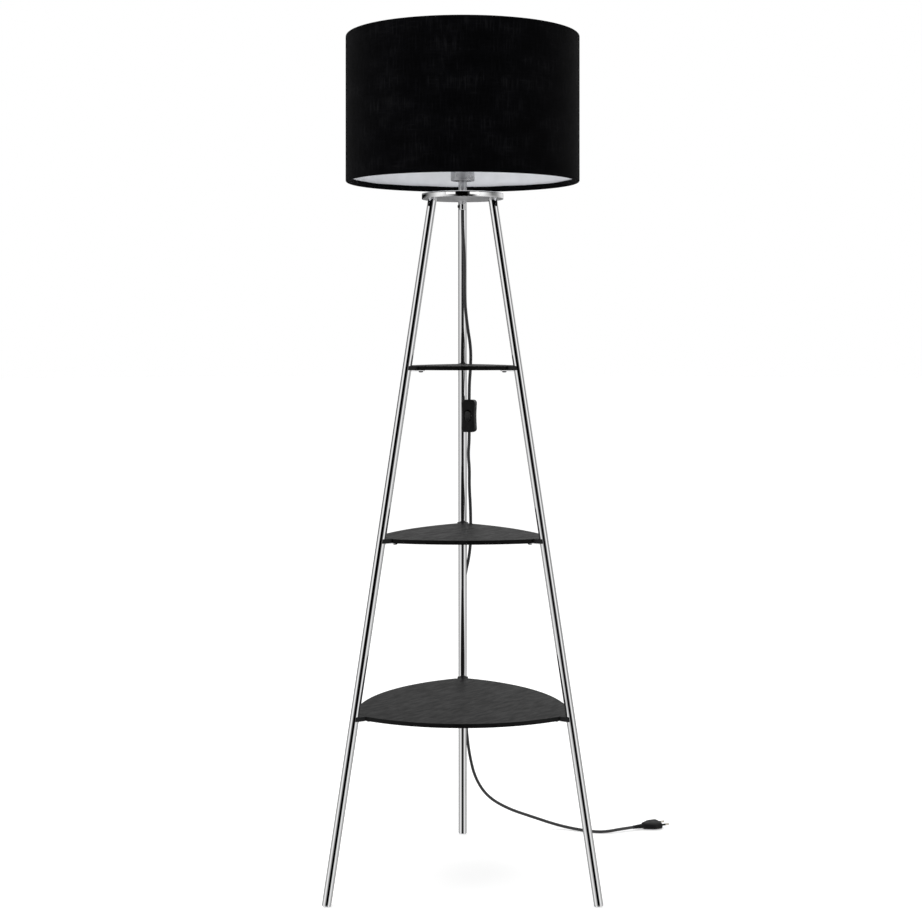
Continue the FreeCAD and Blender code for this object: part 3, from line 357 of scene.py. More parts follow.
def slotted_screw(shape, place, radius, height, slot_width, slot_depth, slots=2):
    """A domed screw head with a slot or a cross slot, its underside on the place's origin."""
    side = height * SCREW_SIDE
    outline = [(SCREW_TIP, 0), (radius - 0.0001, 0), (radius, 0.0002), (radius, side)]
    for step in range(1, 7):
        angle = radians(15 * step)
        reach = max(radius * cos(angle * SCREW_DOME), SCREW_TIP)
        outline.append((reach, side + (height - side) * sin(angle)))
    head = turned(outline, steps=48)
    bmesh.ops.recalc_face_normals(head, faces=head.faces)
    solid = placed("head", mesh_of("head", head))
    slot = bmesh.new()
    slot_length = radius * (3 if slots == 1 else CROSS_LENGTH)
    for turn in range(slots):
        size = Matrix.Diagonal((slot_length, slot_width, slot_depth * 2, 1))
        place_of_slot = moved(0, 0, height) @ spun(90 * turn + SLOT_TURN) @ size
        bmesh.ops.create_cube(slot, size=1, matrix=place_of_slot)
    cutter = placed("slot", mesh_of("slot", slot))
    carve = solid.modifiers.new("slot", "BOOLEAN")
    carve.operation = "DIFFERENCE"
    carve.use_self = True
    carve.object = cutter
    bpy.context.view_layer.update()
    evaluated = solid.evaluated_get(bpy.context.evaluated_depsgraph_get())
    carved = bpy.data.meshes.new_from_object(evaluated)
    carved.transform(place)
    shape.from_mesh(carved)
    spent = [solid.data, cutter.data, carved]
    bpy.data.objects.remove(solid)
    bpy.data.objects.remove(cutter)
    for mesh in spent:
        bpy.data.meshes.remove(mesh)


def post(shape, radius, length, place):
    """A round shank whose upper end is on the place's origin."""
    turned([(radius, -length), (radius, 0)], place, 32, shape=shape)


shape = bmesh.new()
grip_side = moved(-GRIP_RADIUS, 0, GRIP_BASE + GRIP_SCREW_HEIGHT) @ spun(-90, "Y")
slotted_screw(shape, grip_side, 0.0032, 0.0034, slot_width=0.0008, slot_depth=0.0009, slots=1)
post(shape, 0.0015, 0.0029, grip_side)
made_piece("grip_screw", shape, smooth_black, "cord_grip_screw")

# Lampholder: a cup and a body of satin-plated sheet steel, 43 mm across. A threaded collar stands
# on its shoulder, and inside are a ceramic block, the brass thread sleeve, the centre contact and
# its terminals.

HOLDER_BASE = PLATE_HEIGHT + CAP_HEIGHT + SLEEVE_LENGTH
HOLDER_RADIUS = 0.0217
HOLDER_WALL = 0.0016
HOLDER_HOLE = STEM_RADIUS + 0.0003
HOLDER_HEIGHT = 0.043
CUP_HEIGHT = 0.020
CUP_ROUND = 0.0018
SEAM_WIDTH = 0.0006
SEAM_DEPTH = 0.0004
SHOULDER_ROUND = 0.001
COLLAR_RADIUS = 0.0195
COLLAR_HEIGHT = 0.023
COLLAR_NECK = COLLAR_RADIUS - 0.0012
COLLAR_TURNS = 9
COLLAR_PITCH = 0.0023
COLLAR_FLANK = 0.0006
COLLAR_CREST = 0.0005
COLLAR_GROOVE = COLLAR_RADIUS - 0.0009


def stamped_metal(name, dark, light):
    """Stamped sheet metal, a little tarnished in patches."""
    finish = new_finish(name, light, 0.3, METAL)
    patches = cloudiness(finish, 240, 4)
    coloured(finish, patches, (0.35, dark), (0.65, light))
    roughened(finish, patches, 0.42, 0.22, 0.35, 0.65)
    return finish


inside = HOLDER_RADIUS - HOLDER_WALL
bottom = HOLDER_BASE + HOLDER_WALL
seam = HOLDER_BASE + CUP_HEIGHT
outline = [(HOLDER_HOLE, HOLDER_BASE)] + rounded(HOLDER_RADIUS, HOLDER_BASE, CUP_ROUND, 8)
outline += [(HOLDER_RADIUS, seam - SEAM_WIDTH), (HOLDER_RADIUS - SEAM_DEPTH, seam)]
outline += [(inside, seam), (inside, bottom), (HOLDER_HOLE, bottom)]
cup = turned(outline, steps=128, ring=True)
made_piece("lampholder_cup", cup, satin, "holder_cup")

shoulder = HOLDER_BASE + HOLDER_HEIGHT
under = shoulder - HOLDER_WALL
collar_top = shoulder + COLLAR_HEIGHT
collar_bore = COLLAR_RADIUS - HOLDER_WALL
outline = [(inside, seam), (HOLDER_RADIUS - SEAM_DEPTH, seam), (HOLDER_RADIUS, seam + SEAM_WIDTH)]
outline += rounded(HOLDER_RADIUS, shoulder, SHOULDER_ROUND, 5, top=True)
outline += [(COLLAR_NECK, shoulder), (COLLAR_NECK, shoulder + 0.0005)]
for turn in range(COLLAR_TURNS):
    foot = shoulder + 0.001 + turn * COLLAR_PITCH
    low, high = foot + COLLAR_FLANK, foot + COLLAR_FLANK + COLLAR_CREST
    outline += [(COLLAR_GROOVE, foot), (COLLAR_RADIUS, low)]
    outline += [(COLLAR_RADIUS, high), (COLLAR_GROOVE, high + COLLAR_FLANK)]
outline += [(COLLAR_GROOVE, collar_top), (collar_bore, collar_top)]
outline += [(collar_bore, under), (inside, under)]
holder = turned(outline, steps=128, ring=True)
made_piece("lampholder_body", holder, satin, "holder_shell")

# White glazed ceramic with faint speckles.
ceramic = new_finish("fired_ceramic", (0.8, 0.78, 0.74), 0.3)
speckle = cloudiness(ceramic, 900, 2)
coloured(ceramic, speckle, (0.32, (0.62, 0.59, 0.54)), (0.4, (0.8, 0.78, 0.74)))
relief(ceramic, speckle, 0.00003)
dress(ceramic, "holder_insulator")
brass = stamped_metal("contact_brass", (0.42, 0.27, 0.1), (0.72, 0.52, 0.22))
dress(brass, "holder_thread_sleeve", "holder_contact", "holder_terminals")

# Bulb: an opal plastic globe, 60 mm across, on a white moulded housing. Its aluminium cap has the
# rolled screw thread that holds it in the lampholder.

BULB_CAP_RADIUS = 0.0132
BULB_CAP_LENGTH = 0.025
BULB_CAP_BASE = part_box("bulb_cap")[0][2]
THREAD_PITCH = 0.0036
THREAD_DEPTH = 0.0005
THREAD_FADE = 0.004
THREAD_ROWS = 63
TIP_INSET = 0.0012
HOUSING_LENGTH = 0.024
HOUSING_RADIUS = 0.022
HOUSING_EDGE = 0.0006
FLARE_HEIGHT = 0.0226
HOUSING_SWELL = 0.09
HOUSING_CENTRE = 0.0005


def white_moulding(name, colour, roughness):
    """White moulded plastic with a fine grain and faint flow marks."""
    finish = new_finish(name, colour, roughness)
    flow = cloudiness(finish, 55, 4)
    coloured(finish, flow, (0.35, tuple(channel * 0.93 for channel in colour)), (0.65, colour))
    roughened(finish, flow, roughness - 0.05, roughness + 0.08, 0.3, 0.7)
    relief(finish, cloudiness(finish, 1500, 2), 0.00002)
    return finish


loops = []
for row in range(THREAD_ROWS + 1):
    height = BULB_CAP_LENGTH * row / THREAD_ROWS
    fade = min(1, height / THREAD_FADE, (BULB_CAP_LENGTH - height) / THREAD_FADE)
    loop = []
    for angle in angles_round(72):
        wave = THREAD_DEPTH * cos(2 * pi * height / THREAD_PITCH - angle) * fade
        radius = BULB_CAP_RADIUS - THREAD_DEPTH + wave - TIP_INSET * (row < 2)
        loop.append(polar(radius, angle, BULB_CAP_BASE + height))
    loops.append(loop)
aluminium = stamped_metal("cap_aluminium", (0.5, 0.5, 0.5), (0.75, 0.75, 0.74))
made_piece("bulb_screw_cap", skin(loops), aluminium, "bulb_cap")

base = BULB_CAP_BASE + BULB_CAP_LENGTH
top = base + HOUSING_LENGTH
outline = [(HOUSING_CENTRE, base), (BULB_CAP_RADIUS - 0.0002, base)]
outline += [(BULB_CAP_RADIUS, base + HOUSING_EDGE)]
for step in range(1, 11):
    rise = step / 10
    swell = min(rise + HOUSING_SWELL * sin(pi * rise), 1)
    radius = BULB_CAP_RADIUS + (HOUSING_RADIUS - BULB_CAP_RADIUS) * swell
    outline.append((radius, base + HOUSING_EDGE + FLARE_HEIGHT * rise))
outline += [(HOUSING_RADIUS - HOUSING_EDGE, top), (HOUSING_CENTRE, top)]
moulding = white_moulding("bulb_moulding", (0.8, 0.8, 0.79), 0.35)
made_piece("bulb_body", turned(outline), moulding, "bulb_housing")

# Opal plastic: white through and through, satin, slightly uneven in its density.
milky = {"Subsurface Weight": 0.3, "Subsurface Scale": 0.004}
opal = new_finish("opal_plastic", (0.86, 0.86, 0.84), 0.32, milky)
coloured(opal, cloudiness(opal, 70, 3), (0.3, (0.82, 0.82, 0.8)), (0.7, (0.89, 0.89, 0.87)))
relief(opal, cloudiness(opal, 900, 2), 0.00001)
dress(opal, "bulb_globe")

# Shade cloth: black slub-woven cotton laminated to the lining, 424 mm across and 265 mm high. It is
# turned in over a wire ring at each end, and its ends lap over each other in a glued seam at the
# back.

SHADE_RADIUS = 0.21175
SHADE_BASE = 1.265
SHADE_HEIGHT = 0.265
SHADE_TOP = SHADE_BASE + SHADE_HEIGHT
CLOTH = 0.001
HEM_HEIGHT = 0.010
HEM_FOLD = 0.0002
HEM_WAVES = ((0.0003, 7, 0), (0.0002, 17, 40))
RIM_MIDDLE = 0.20835
RIM_HALF = 0.0034
RIM_RISE = 0.003
LAP = 0.0004
LAP_WIDTH = 0.013
ARM_NOTCH = 0.0026
NOTCH_HEIGHT = 0.0012
STEP_DEGREES = 0.02
THREADS_PER_METRE = 2000


def maths(owner, operation, *values):
    """One sum on numbers or on other nodes' outputs."""
    step = owner.node_tree.nodes.new("ShaderNodeMath")
    step.operation = operation
    feed(owner, step, dict(enumerate(values)))
    return step.outputs["Value"]


# Black cotton: threads half a millimetre apart, round the drum and up it, with slubs among them.
sheen = {"Specular IOR Level": 0.04, "Sheen Weight": 0.015, "Sheen Roughness": 0.4}
weave = new_finish("black_weave", (0.004, 0.004, 0.0045), 0.85, sheen)
apart = weave.node_tree.nodes.new("ShaderNodeSeparateXYZ")
feed(weave, apart, {"Vector": surface_place(weave)})
azimuth = maths(weave, "ARCTAN2", apart.outputs["Y"], apart.outputs["X"])
around = maths(weave, "MULTIPLY", azimuth, SHADE_RADIUS)
flat = new_node(weave, "CombineXYZ", "Vector", {"X": around, "Y": apart.outputs["Z"]})


def stretched(across, up, detail):
    """Noise on the cloth laid flat, with so many bumps per metre round the drum and up it."""
    place = new_node(weave, "Mapping", "Vector", {"Vector": flat, "Scale": (across, up, 1)})
    return cloudiness(weave, 1, detail, place=place)


level_slubs = maths(weave, "MULTIPLY", stretched(30, 640, 4), 0.92)
slubs = maths(weave, "MAXIMUM", stretched(520, 30, 4), level_slubs)
uneven = maths(weave, "MULTIPLY", slubs, maths(weave, "ADD", stretched(18, 30, 3), 0.5))
dark, middling, worn = (0.0004, 0.0004, 0.0007), (0.0014, 0.0014, 0.0019), (0.0048, 0.0048, 0.0055)
coloured(weave, uneven, (0.42, dark), (0.58, middling), (0.75, worn))
threads = []
for axis in ("X", "Y"):
    wave = weave.node_tree.nodes.new("ShaderNodeTexWave")
    wave.bands_direction = axis
    form = {"Scale": THREADS_PER_METRE / (2 * pi), "Distortion": 0.6, "Detail Scale": 0.4}
    feed(weave, wave, {"Vector": flat, **form})
    threads.append(wave.outputs["Fac"])
crossed = maths(weave, "MULTIPLY", maths(weave, "MAXIMUM", *threads), 0.45)
relief(weave, maths(weave, "ADD", crossed, slubs), 0.00022)


def rim_arc(middle, side, way, depth):
    """Half round a wire ring, so deep under the cloth's face. way is 1 over the upper ring."""
    arc = [radians(15 * step) for step in range(13)]
    half, rise = side * (RIM_HALF - depth), way * (RIM_RISE - depth)
    return [(RIM_MIDDLE + half * cos(angle), middle + rise * sin(angle)) for angle in arc]


def cloth_section(azimuth):
    """The cloth's cross-section at an azimuth in degrees, as radii and heights, once round."""
    behind = radians(azimuth - 90) * SHADE_RADIUS
    lap = LAP if 0 <= behind <= LAP_WIDTH else 0.0
    near_arm = min(abs((azimuth - leg + 180) % 360 - 180) for leg in LEGS.values())
    notched = radians(near_arm) * RIM_MIDDLE < ARM_NOTCH
    hem = HEM_HEIGHT
    for size, times, start in HEM_WAVES:
        hem += size * sin(radians(azimuth * times + start))
    low, high = SHADE_BASE + RIM_RISE, SHADE_TOP - RIM_RISE
    section = rim_arc(low, -1, -1, 0)
    section += [(SHADE_RADIUS, SHADE_BASE + SHADE_HEIGHT * share) for share in (0.25, 0.5, 0.75)]
    section += rim_arc(high, 1, 1, 0)
    section = [(radius + lap * (radius > RIM_MIDDLE), height) for radius, height in section]
    inner = RIM_MIDDLE - RIM_HALF
    edge = SHADE_TOP - hem
    section += [(inner, edge), (inner + CLOTH * 0.6, edge - HEM_FOLD), (inner + CLOTH, edge)]
    section += rim_arc(high, -1, 1, CLOTH) + rim_arc(low, 1, -1, CLOTH)
    edge = SHADE_BASE + (NOTCH_HEIGHT if notched else hem)
    section += [(inner + CLOTH, edge), (inner + CLOTH * 0.6, edge + HEM_FOLD), (inner, edge)]
    return section


notch = degrees(ARM_NOTCH / RIM_MIDDLE)
steps_at = [leg + way * notch for leg in LEGS.values() for way in (-1, 1)]
steps_at += [90 + degrees(LAP_WIDTH / SHADE_RADIUS)]
azimuths = {step * 1.25 for step in range(288)} | {90 - STEP_DEGREES}
azimuths |= {place + way * STEP_DEGREES for place in steps_at for way in (-1, 1)}
loops = []
for azimuth in sorted(azimuths):
    section = cloth_section(azimuth)
    loops.append([polar(radius, radians(azimuth), height) for radius, height in section])
cloth = made_piece("shade_cloth_drum", skin(loops, ring=True), weave, "shade_cloth")

# Shade lining: a white plastic film, 0.8 mm thick, to which the cloth is laminated. It ends inside
# the turned-in hems, and its own ends meet at the seam at the back.

LINING_OUTSIDE = 0.21075
LINING_INSIDE = 0.20995
LINING_GAP = RIM_RISE + 0.0002

low, high = SHADE_BASE + LINING_GAP, SHADE_TOP - LINING_GAP
outline = [(LINING_INSIDE, low), (LINING_OUTSIDE, low)]
outline += [(LINING_OUTSIDE, high), (LINING_INSIDE, high)]
film = white_moulding("lining_film", (0.8, 0.81, 0.84), 0.45)
drum = turned(outline, steps=288, ring=True)
lining = made_piece("shade_lining_film", drum, film, "shade_lining")

# Shade carrier: a white powder-coated wire ring in each hem. Three arms run from the lower ring to
# a flat ring on the lampholder's shoulder, where a white clamp ring on the collar's thread holds it
# down.

CLAMP_RADIUS = 0.027
CLAMP_BORE = COLLAR_RADIUS + 0.00005
CLAMP_HEIGHT = 0.007
CLAMP_EDGE = 0.0008
CLAMP_RIBS = 36
CLAMP_RIB_DEPTH = 0.0005

# White powder coat on wire: a slight orange-peel surface.
powder = new_finish("white_powder_coat", (0.72, 0.72, 0.71), 0.38)
peel = cloudiness(powder, 700, 2)
roughened(powder, peel, 0.3, 0.46, 0.3, 0.7)
coloured(powder, cloudiness(powder, 40, 3), (0.3, (0.68, 0.68, 0.66)), (0.7, (0.75, 0.75, 0.74)))
relief(powder, peel, 0.00004)
dress(powder, "shade_carrier", "shade_lower_ring", "shade_upper_ring")

clamp_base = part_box("shade_clamp_ring")[0][2]
loops = []
for radius, height, ribbed in (
    (CLAMP_BORE, 0, 0), (CLAMP_RADIUS - CLAMP_EDGE, 0, 0), (CLAMP_RADIUS, CLAMP_EDGE, 1),
    (CLAMP_RADIUS, CLAMP_HEIGHT - 0.0015, 1), (CLAMP_RADIUS - CLAMP_EDGE, CLAMP_HEIGHT - 0.0003, 0),
    (CLAMP_RADIUS - 0.0014, CLAMP_HEIGHT, 0), (COLLAR_RADIUS + 0.0006, CLAMP_HEIGHT, 0),
    (CLAMP_BORE, CLAMP_HEIGHT - 0.0006, 0),
):
    loop = []
    for angle in angles_round(CLAMP_RIBS * 6):
        groove = CLAMP_RIB_DEPTH * ribbed * (0.5 - 0.5 * cos(angle * CLAMP_RIBS))
        loop.append(polar(radius - groove, angle, clamp_base + height))
    loops.append(loop)
moulding = white_moulding("clamp_moulding", (0.75, 0.75, 0.74), 0.4)
clamp = skin(loops, ring=True)
made_piece("clamp_ring_ribbed", clamp, moulding, "shade_clamp_ring")

# Shelves: three boards, 7.5 mm thick, faced with black-stained ash and lacquered. Their sides bulge
# between the corners, and the edges are eased and stained like the faces.

SHELF_THICKNESS = 0.0075
SHELF_TOPS = {"upper": 0.934, "middle": 0.6296, "lower": 0.3225}
GRAIN_TURN = 50

# Black-stained ash: slanting grain, whose open pores catch less lacquer.
ash = new_finish("black_ash", (0.003, 0.003, 0.003), 0.42, {"Specular IOR Level": 0.18})
figure = cloudiness(ash, 9, 5, 0.65, surface_place(ash, (4, 14, 14), GRAIN_TURN))
coloured(ash, figure, (0.35, (0.0014, 0.0014, 0.0014)), (0.65, (0.0038, 0.0037, 0.0036)))
roughened(ash, figure, 0.4, 0.54, 0.36, 0.64)
relief(ash, cloudiness(ash, 3, 4, 0.6, surface_place(ash, (9, 260, 260), GRAIN_TURN)), 0.00008)
dress(ash, "upper_shelf", "middle_shelf", "lower_shelf")

# Saddles: black moulded blocks, 20 mm wide, between each cut-off shelf corner and its leg. Each is
# hollowed to hug the tube, and its edges are rounded by the mould.

SADDLE_SETBACK = 0.0167
SADDLE_WIDTH = 0.020
SADDLE_WRAP = 0.0015
SADDLE_CORNER = 0.0007
SADDLE_EDGE = 0.0005
PRESS_GAP = 0.00005
LEG_SLANT = -tan(LEG_TILT)


def softened(corners, steps=4):
    """An outline from corners, each x, y and how far it is rounded."""
    points = []
    for index, (x, y, size) in enumerate(corners):
        here = Vector((x, y))
        if size == 0:
            points.append(here)
            continue
        before = Vector(corners[index - 1][:2]) - here
        after = Vector(corners[(index + 1) % len(corners)][:2]) - here
        start = here + before.normalized() * size
        end = here + after.normalized() * size
        for step in range(steps + 1):
            t = step / steps
            points.append(start * (1 - t) ** 2 + here * 2 * t * (1 - t) + end * t * t)
    return points


def drawn_in(points, distance):
    """A counterclockwise outline, moved inwards by a distance."""
    drawn = []
    for index, here in enumerate(points):
        before = (here - points[index - 1]).normalized()
        after = (points[(index + 1) % len(points)] - here).normalized()
        inward = Vector((-before.y - after.y, before.x + after.x))
        inward.normalize()
        share = max(inward.dot(Vector((-after.y, after.x))), 0.5)
        drawn.append(here + inward * (distance / share))
    return drawn


def slab(shape, points, base, top, edge, place):
    """A block from an outline, with rounded edges. It leans as the legs do."""
    middle = (base + top) / 2
    levels = []
    for step in range(4):
        angle = radians(30 * step)
        levels.append((base + edge * (1 - cos(angle)), edge * (1 - sin(angle))))
    levels += [(base + top - height, inset) for height, inset in levels[::-1]]
    loops = []
    for height, inset in levels:
        shift = LEG_SLANT * (height - middle)
        outline = drawn_in(points, inset)
        loops.append([place @ Vector((point.x + shift, point.y, height)) for point in outline])
    skin(loops, shape=shape)


def leg_hugger(length, width, wrap, corner):
    """The outline of a block on a leg's inner side. X is measured from the leg's axis, outwards."""
    across = LEG_RADIUS + PRESS_GAP
    along = across / cos(LEG_TILT)
    half = width / 2
    if wrap > 0:
        corners = [(-length, -half, corner), (wrap, -half, corner)]
        first = 90 - degrees(asin(wrap / along))
    else:
        corners = [(-length, -half, corner), (-along * sqrt(1 - (half / across) ** 2), -half, 0)]
        first = 180 - degrees(asin(half / across)) + 0.5
    start = softened(corners)
    arc = [radians(-first - (360 - 2 * first) * step / 24) for step in range(25)]
    hollow = [Vector((along * cos(angle), across * sin(angle))) for angle in arc]
    mirrored = [(x, -y, size) for x, y, size in corners[::-1]]
    return start + hollow + softened(mirrored + corners)[: len(start)]


def axis_distance(height):
    return LEG_FOOT - height * tan(LEG_TILT)


saddle_nylon = moulded_black("saddle_nylon", 0.5, 1800, 0.00003, gloss=0.2)
saddle_outline = leg_hugger(SADDLE_SETBACK, SADDLE_WIDTH, SADDLE_WRAP, SADDLE_CORNER)
for shelf, top in SHELF_TOPS.items():
    base = top - SHELF_THICKNESS
    for side, azimuth in LEGS.items():
        shape = bmesh.new()
        place = spun(azimuth) @ moved(axis_distance(base + SHELF_THICKNESS / 2), 0, 0)
        slab(shape, saddle_outline, base, top, SADDLE_EDGE, place)
        name = f"{shelf}_saddle_block_{side}"
        made_piece(name, shape, saddle_nylon, f"{shelf}_saddle_{side}")

# Brackets: strips of chromed steel, 12 by 2 mm, welded to the legs under the shelves. A black
# cross-recessed screw goes up through each into the board.

BRACKET_LENGTH = 0.034
BRACKET_WIDTH = 0.012
BRACKET_THICKNESS = 0.002
BRACKET_CORNER = 0.003
BRACKET_EDGE = 0.0003
SHELF_SCREW_SETBACK = 0.028
SHELF_SCREW_HEAD = 0.004
SHELF_SCREW_RISE = 0.0026
SHELF_SCREW_RADIUS = 0.002
SHELF_SCREW_REACH = 0.0075

# Blackened screw steel: a dark, slightly shiny oxide layer, rubbed brighter in spots.
blackened = new_finish("blackened_steel", (0.012, 0.012, 0.013), 0.4, {"Specular IOR Level": 0.35})
rubbed = cloudiness(blackened, 600, 3)
coloured(blackened, rubbed, (0.45, (0.008, 0.008, 0.009)), (0.75, (0.03, 0.03, 0.031)))
roughened(blackened, rubbed, 0.42, 0.28, 0.4, 0.75)

strip_outline = leg_hugger(BRACKET_LENGTH, BRACKET_WIDTH, 0, BRACKET_CORNER)
for shelf, top in SHELF_TOPS.items():
    face = top - SHELF_THICKNESS
    under = face - BRACKET_THICKNESS
    centre = axis_distance(face + SHELF_THICKNESS / 2)
    strips = bmesh.new()
    screws = bmesh.new()
    for azimuth in LEGS.values():
        slab(strips, strip_outline, under, face, BRACKET_EDGE, spun(azimuth) @ moved(centre, 0, 0))
        seat = spun(azimuth) @ moved(centre - SHELF_SCREW_SETBACK, 0, under) @ spun(180, "X")
        slotted_screw(screws, seat, SHELF_SCREW_HEAD, SHELF_SCREW_RISE,
                      slot_width=0.0011, slot_depth=0.0014)
        post(screws, SHELF_SCREW_RADIUS, SHELF_SCREW_REACH, seat)
    made_piece(f"{shelf}_bracket_strips", strips, chrome, f"{shelf}_brackets")
    made_piece(f"{shelf}_board_screws", screws, blackened, f"{shelf}_shelf_screws")

# Switch: two black moulded shells, 61 mm long, joined by two screws from behind. Their sides are
# drawn in at the waist, and a dished rocker tips on a pin in the front one's window.

SWITCH_CENTRE = Vector((0.0124, 0.102, 0.8365))
SWITCH_TURN = -15
HALF_SWITCH = 0.03035
SWITCH_HALF_WIDTH = 0.0132
SWITCH_WAIST = 0.001
SWITCH_CORNER = 0.0062
SWITCH_DEPTH = 0.010
SWITCH_ROUND = 0.0032
SWITCH_WALL = 0.0018
SWITCH_HOLLOW = 0.0038
SWITCH_BACK = 0.008
ROCKER_HALF_WIDTH = 0.0053
ROCKER_HALF_LENGTH = 0.0103
ROCKER_GAP = 0.0011
ROCKER_STAND = 0.0014
ROCKER_BODY = 0.0074
ROCKER_TILT = 7
DISH_RADIUS = 0.034
PIVOT_DEPTH = 0.0045
RAYS = 240
HALVINGS = 30

switch_place = Matrix.Translation(SWITCH_CENTRE) @ spun(SWITCH_TURN)


def switch_reach(angle, inset):
    """How far the switch's outline is from its centre, at an angle in its front view."""
    low, high = 0.0, 0.05
    for _ in range(HALVINGS):
        reach = (low + high) / 2
        x, z = abs(reach * cos(angle)), abs(reach * sin(angle))
        waist = SWITCH_WAIST * cos(min(z / HALF_SWITCH, 1) * pi / 2) ** 2
        side, end = SWITCH_HALF_WIDTH - waist - inset, HALF_SWITCH - inset
        corner = SWITCH_CORNER - inset
        past_x, past_z = x - (side - corner), z - (end - corner)
        past_corner = past_x > 0 and past_z > 0 and hypot(past_x, past_z) > corner
        low, high = (low, reach) if x > side or z > end or past_corner else (reach, high)
    return low


def oval_reach(angle, half_width, half_length):
    """The same for an oval with round ends."""
    across, up = abs(cos(angle)), abs(sin(angle))
    straight = half_length - half_width
    if up * half_width <= straight * across:
        return half_width / across
    return up * straight + sqrt(max(half_width ** 2 - (across * straight) ** 2, 0))


def front_view_loop(reach, depth, place):
    """A loop round the switch's centre. reach gives a distance for an angle, depth is along Y."""
    loop = []
    for ray in range(RAYS):
        angle = 2 * pi * (ray + 0.5) / RAYS
        far = reach(angle)
        x, z = far * cos(angle), far * sin(angle)
        loop.append(place @ Vector((x, depth(x, z) if callable(depth) else depth, z)))
    return loop


def shell_loop(inset, depth):
    """A loop so far inside the shells' outline."""
    return front_view_loop(lambda angle: switch_reach(angle, inset), depth, switch_place)


def oval_loop(margin, depth, place):
    """A loop so far outside the rocker's outline."""
    half_width, half_length = ROCKER_HALF_WIDTH + margin, ROCKER_HALF_LENGTH + margin
    return front_view_loop(lambda angle: oval_reach(angle, half_width, half_length), depth, place)


def shell_wall(way):
    """A shell's outside, from the parting line to its face. way is -1 for the front shell."""
    rows = [shell_loop(0.0004, 0), shell_loop(0.0001, way * 0.0003), shell_loop(0, way * 0.0006)]
    for step in range(9):
        angle = radians(90 * step / 8)
        level = SWITCH_DEPTH - SWITCH_ROUND * (1 - sin(angle))
        rows.append(shell_loop(SWITCH_ROUND * (1 - cos(angle)), way * level))
    return rows


rows = shell_wall(-1)
for margin, sunk in ((0.0026, 0), (0.0019, 0.0001), (0.0016, 0.0004), (0.0013, 0.0004),
                     (ROCKER_GAP, 0.0006), (ROCKER_GAP, SWITCH_WALL)):
    rows.append(oval_loop(margin, sunk - SWITCH_DEPTH, switch_place))
rows += [shell_loop(SWITCH_HOLLOW, SWITCH_WALL - SWITCH_DEPTH), shell_loop(SWITCH_HOLLOW, 0)]
front = skin(rows, ring=True)
cover = made_piece("switch_front_shell", front, grained_black, "switch_cover")

rows = [shell_loop(SWITCH_BACK, SWITCH_DEPTH)] + shell_wall(1)[::-1]
rows += [shell_loop(SWITCH_HOLLOW, 0), shell_loop(SWITCH_HOLLOW, SWITCH_DEPTH - SWITCH_WALL)]
back = made_piece("switch_back_shell", skin(rows), grained_black, "switch_base")

rocker_place = switch_place @ moved(0, PIVOT_DEPTH - SWITCH_DEPTH, 0) @ spun(ROCKER_TILT, "X")


def dished(x, z):
    """The rocker's face: a hollow along its length."""
    rim = sqrt(DISH_RADIUS ** 2 - ROCKER_HALF_LENGTH ** 2)
    return sqrt(max(DISH_RADIUS ** 2 - z * z, 0)) - rim - PIVOT_DEPTH - ROCKER_STAND


level = ROCKER_BODY - PIVOT_DEPTH - ROCKER_STAND
rows = [oval_loop(-0.0012, level, rocker_place), oval_loop(-0.0006, level, rocker_place)]
rows += [oval_loop(0, level - 0.0006, rocker_place)]
for inset, sunk in ((0, 0.0007), (0.0001, 0.0004), (0.00032, 0.00015), (0.0006, 0), (0.0014, 0),
                    (0.0024, 0), (0.0034, 0), (0.0044, 0), (0.0052, 0)):
    rows.append(oval_loop(-inset, lambda x, z: dished(x, z) + sunk, rocker_place))
shape = skin(rows, ends=False)
# A flat back, and strips across the face from side to side.
corners = list(shape.verts)
shape.faces.new(corners[:RAYS][::-1])
middle = corners[-RAYS:]
for ray in range(-RAYS // 4, RAYS // 4 - 1):
    across = RAYS // 2 - 1 - ray
    shape.faces.new((middle[ray], middle[ray + 1], middle[across - 1], middle[across]))
rocker = made_piece("switch_rocker_cap", shape, smooth_black, "switch_rocker",
                    "rocker")
dress(zinc, "switch_screws", "switch_pivot_pin")
dress(brass, "switch_contacts")

# Plug: a flat two-pin plug, 35 mm wide and 14 mm thick, moulded on the cord's end. It has finger
# ribs on its sloping sides, a ribbed taper where the cord goes in, and nickel-plated brass pins
# with black sleeves.

PLUG_PLACE = Vector((0.3596, 0.298, 0.00685))
PLUG_TURN = 23.5
PLUG_LENGTH = 0.036
PLUG_HALF_WIDTH = 0.01765
PLUG_HALF_THICKNESS = 0.00685
PLUG_NECK = 0.0065
PLUG_SLOPE = 0.0198
PLUG_SWELL = 0.35
PLUG_THINNING = 0.0008
PLUG_THIN_LENGTH = 0.02
PLUG_SQUARENESS = 3.2
FINGER_RIBS = (0.004, 0.018, 6, 0.00045)
PIN_SPACING = 0.019
PIN_RADIUS = 0.002
PIN_CORE = 0.0015
PIN_LENGTH = 0.019
PIN_ROOT = 0.010
PIN_ROUND = 0.0016
PIN_BARE = 0.0102
SLEEVE_BORE = 0.00152
SLEEVE_END = 0.0101
RELIEF_LENGTH = 0.022
RELIEF_RADIUS = 0.0048
RELIEF_TIP = 0.0034
RELIEF_GROOVES = (0.0016, 0.0202, 0.0031, 0.0005)
RELIEF_ROWS = 44

plug_place = Matrix.Translation(PLUG_PLACE) @ spun(PLUG_TURN)


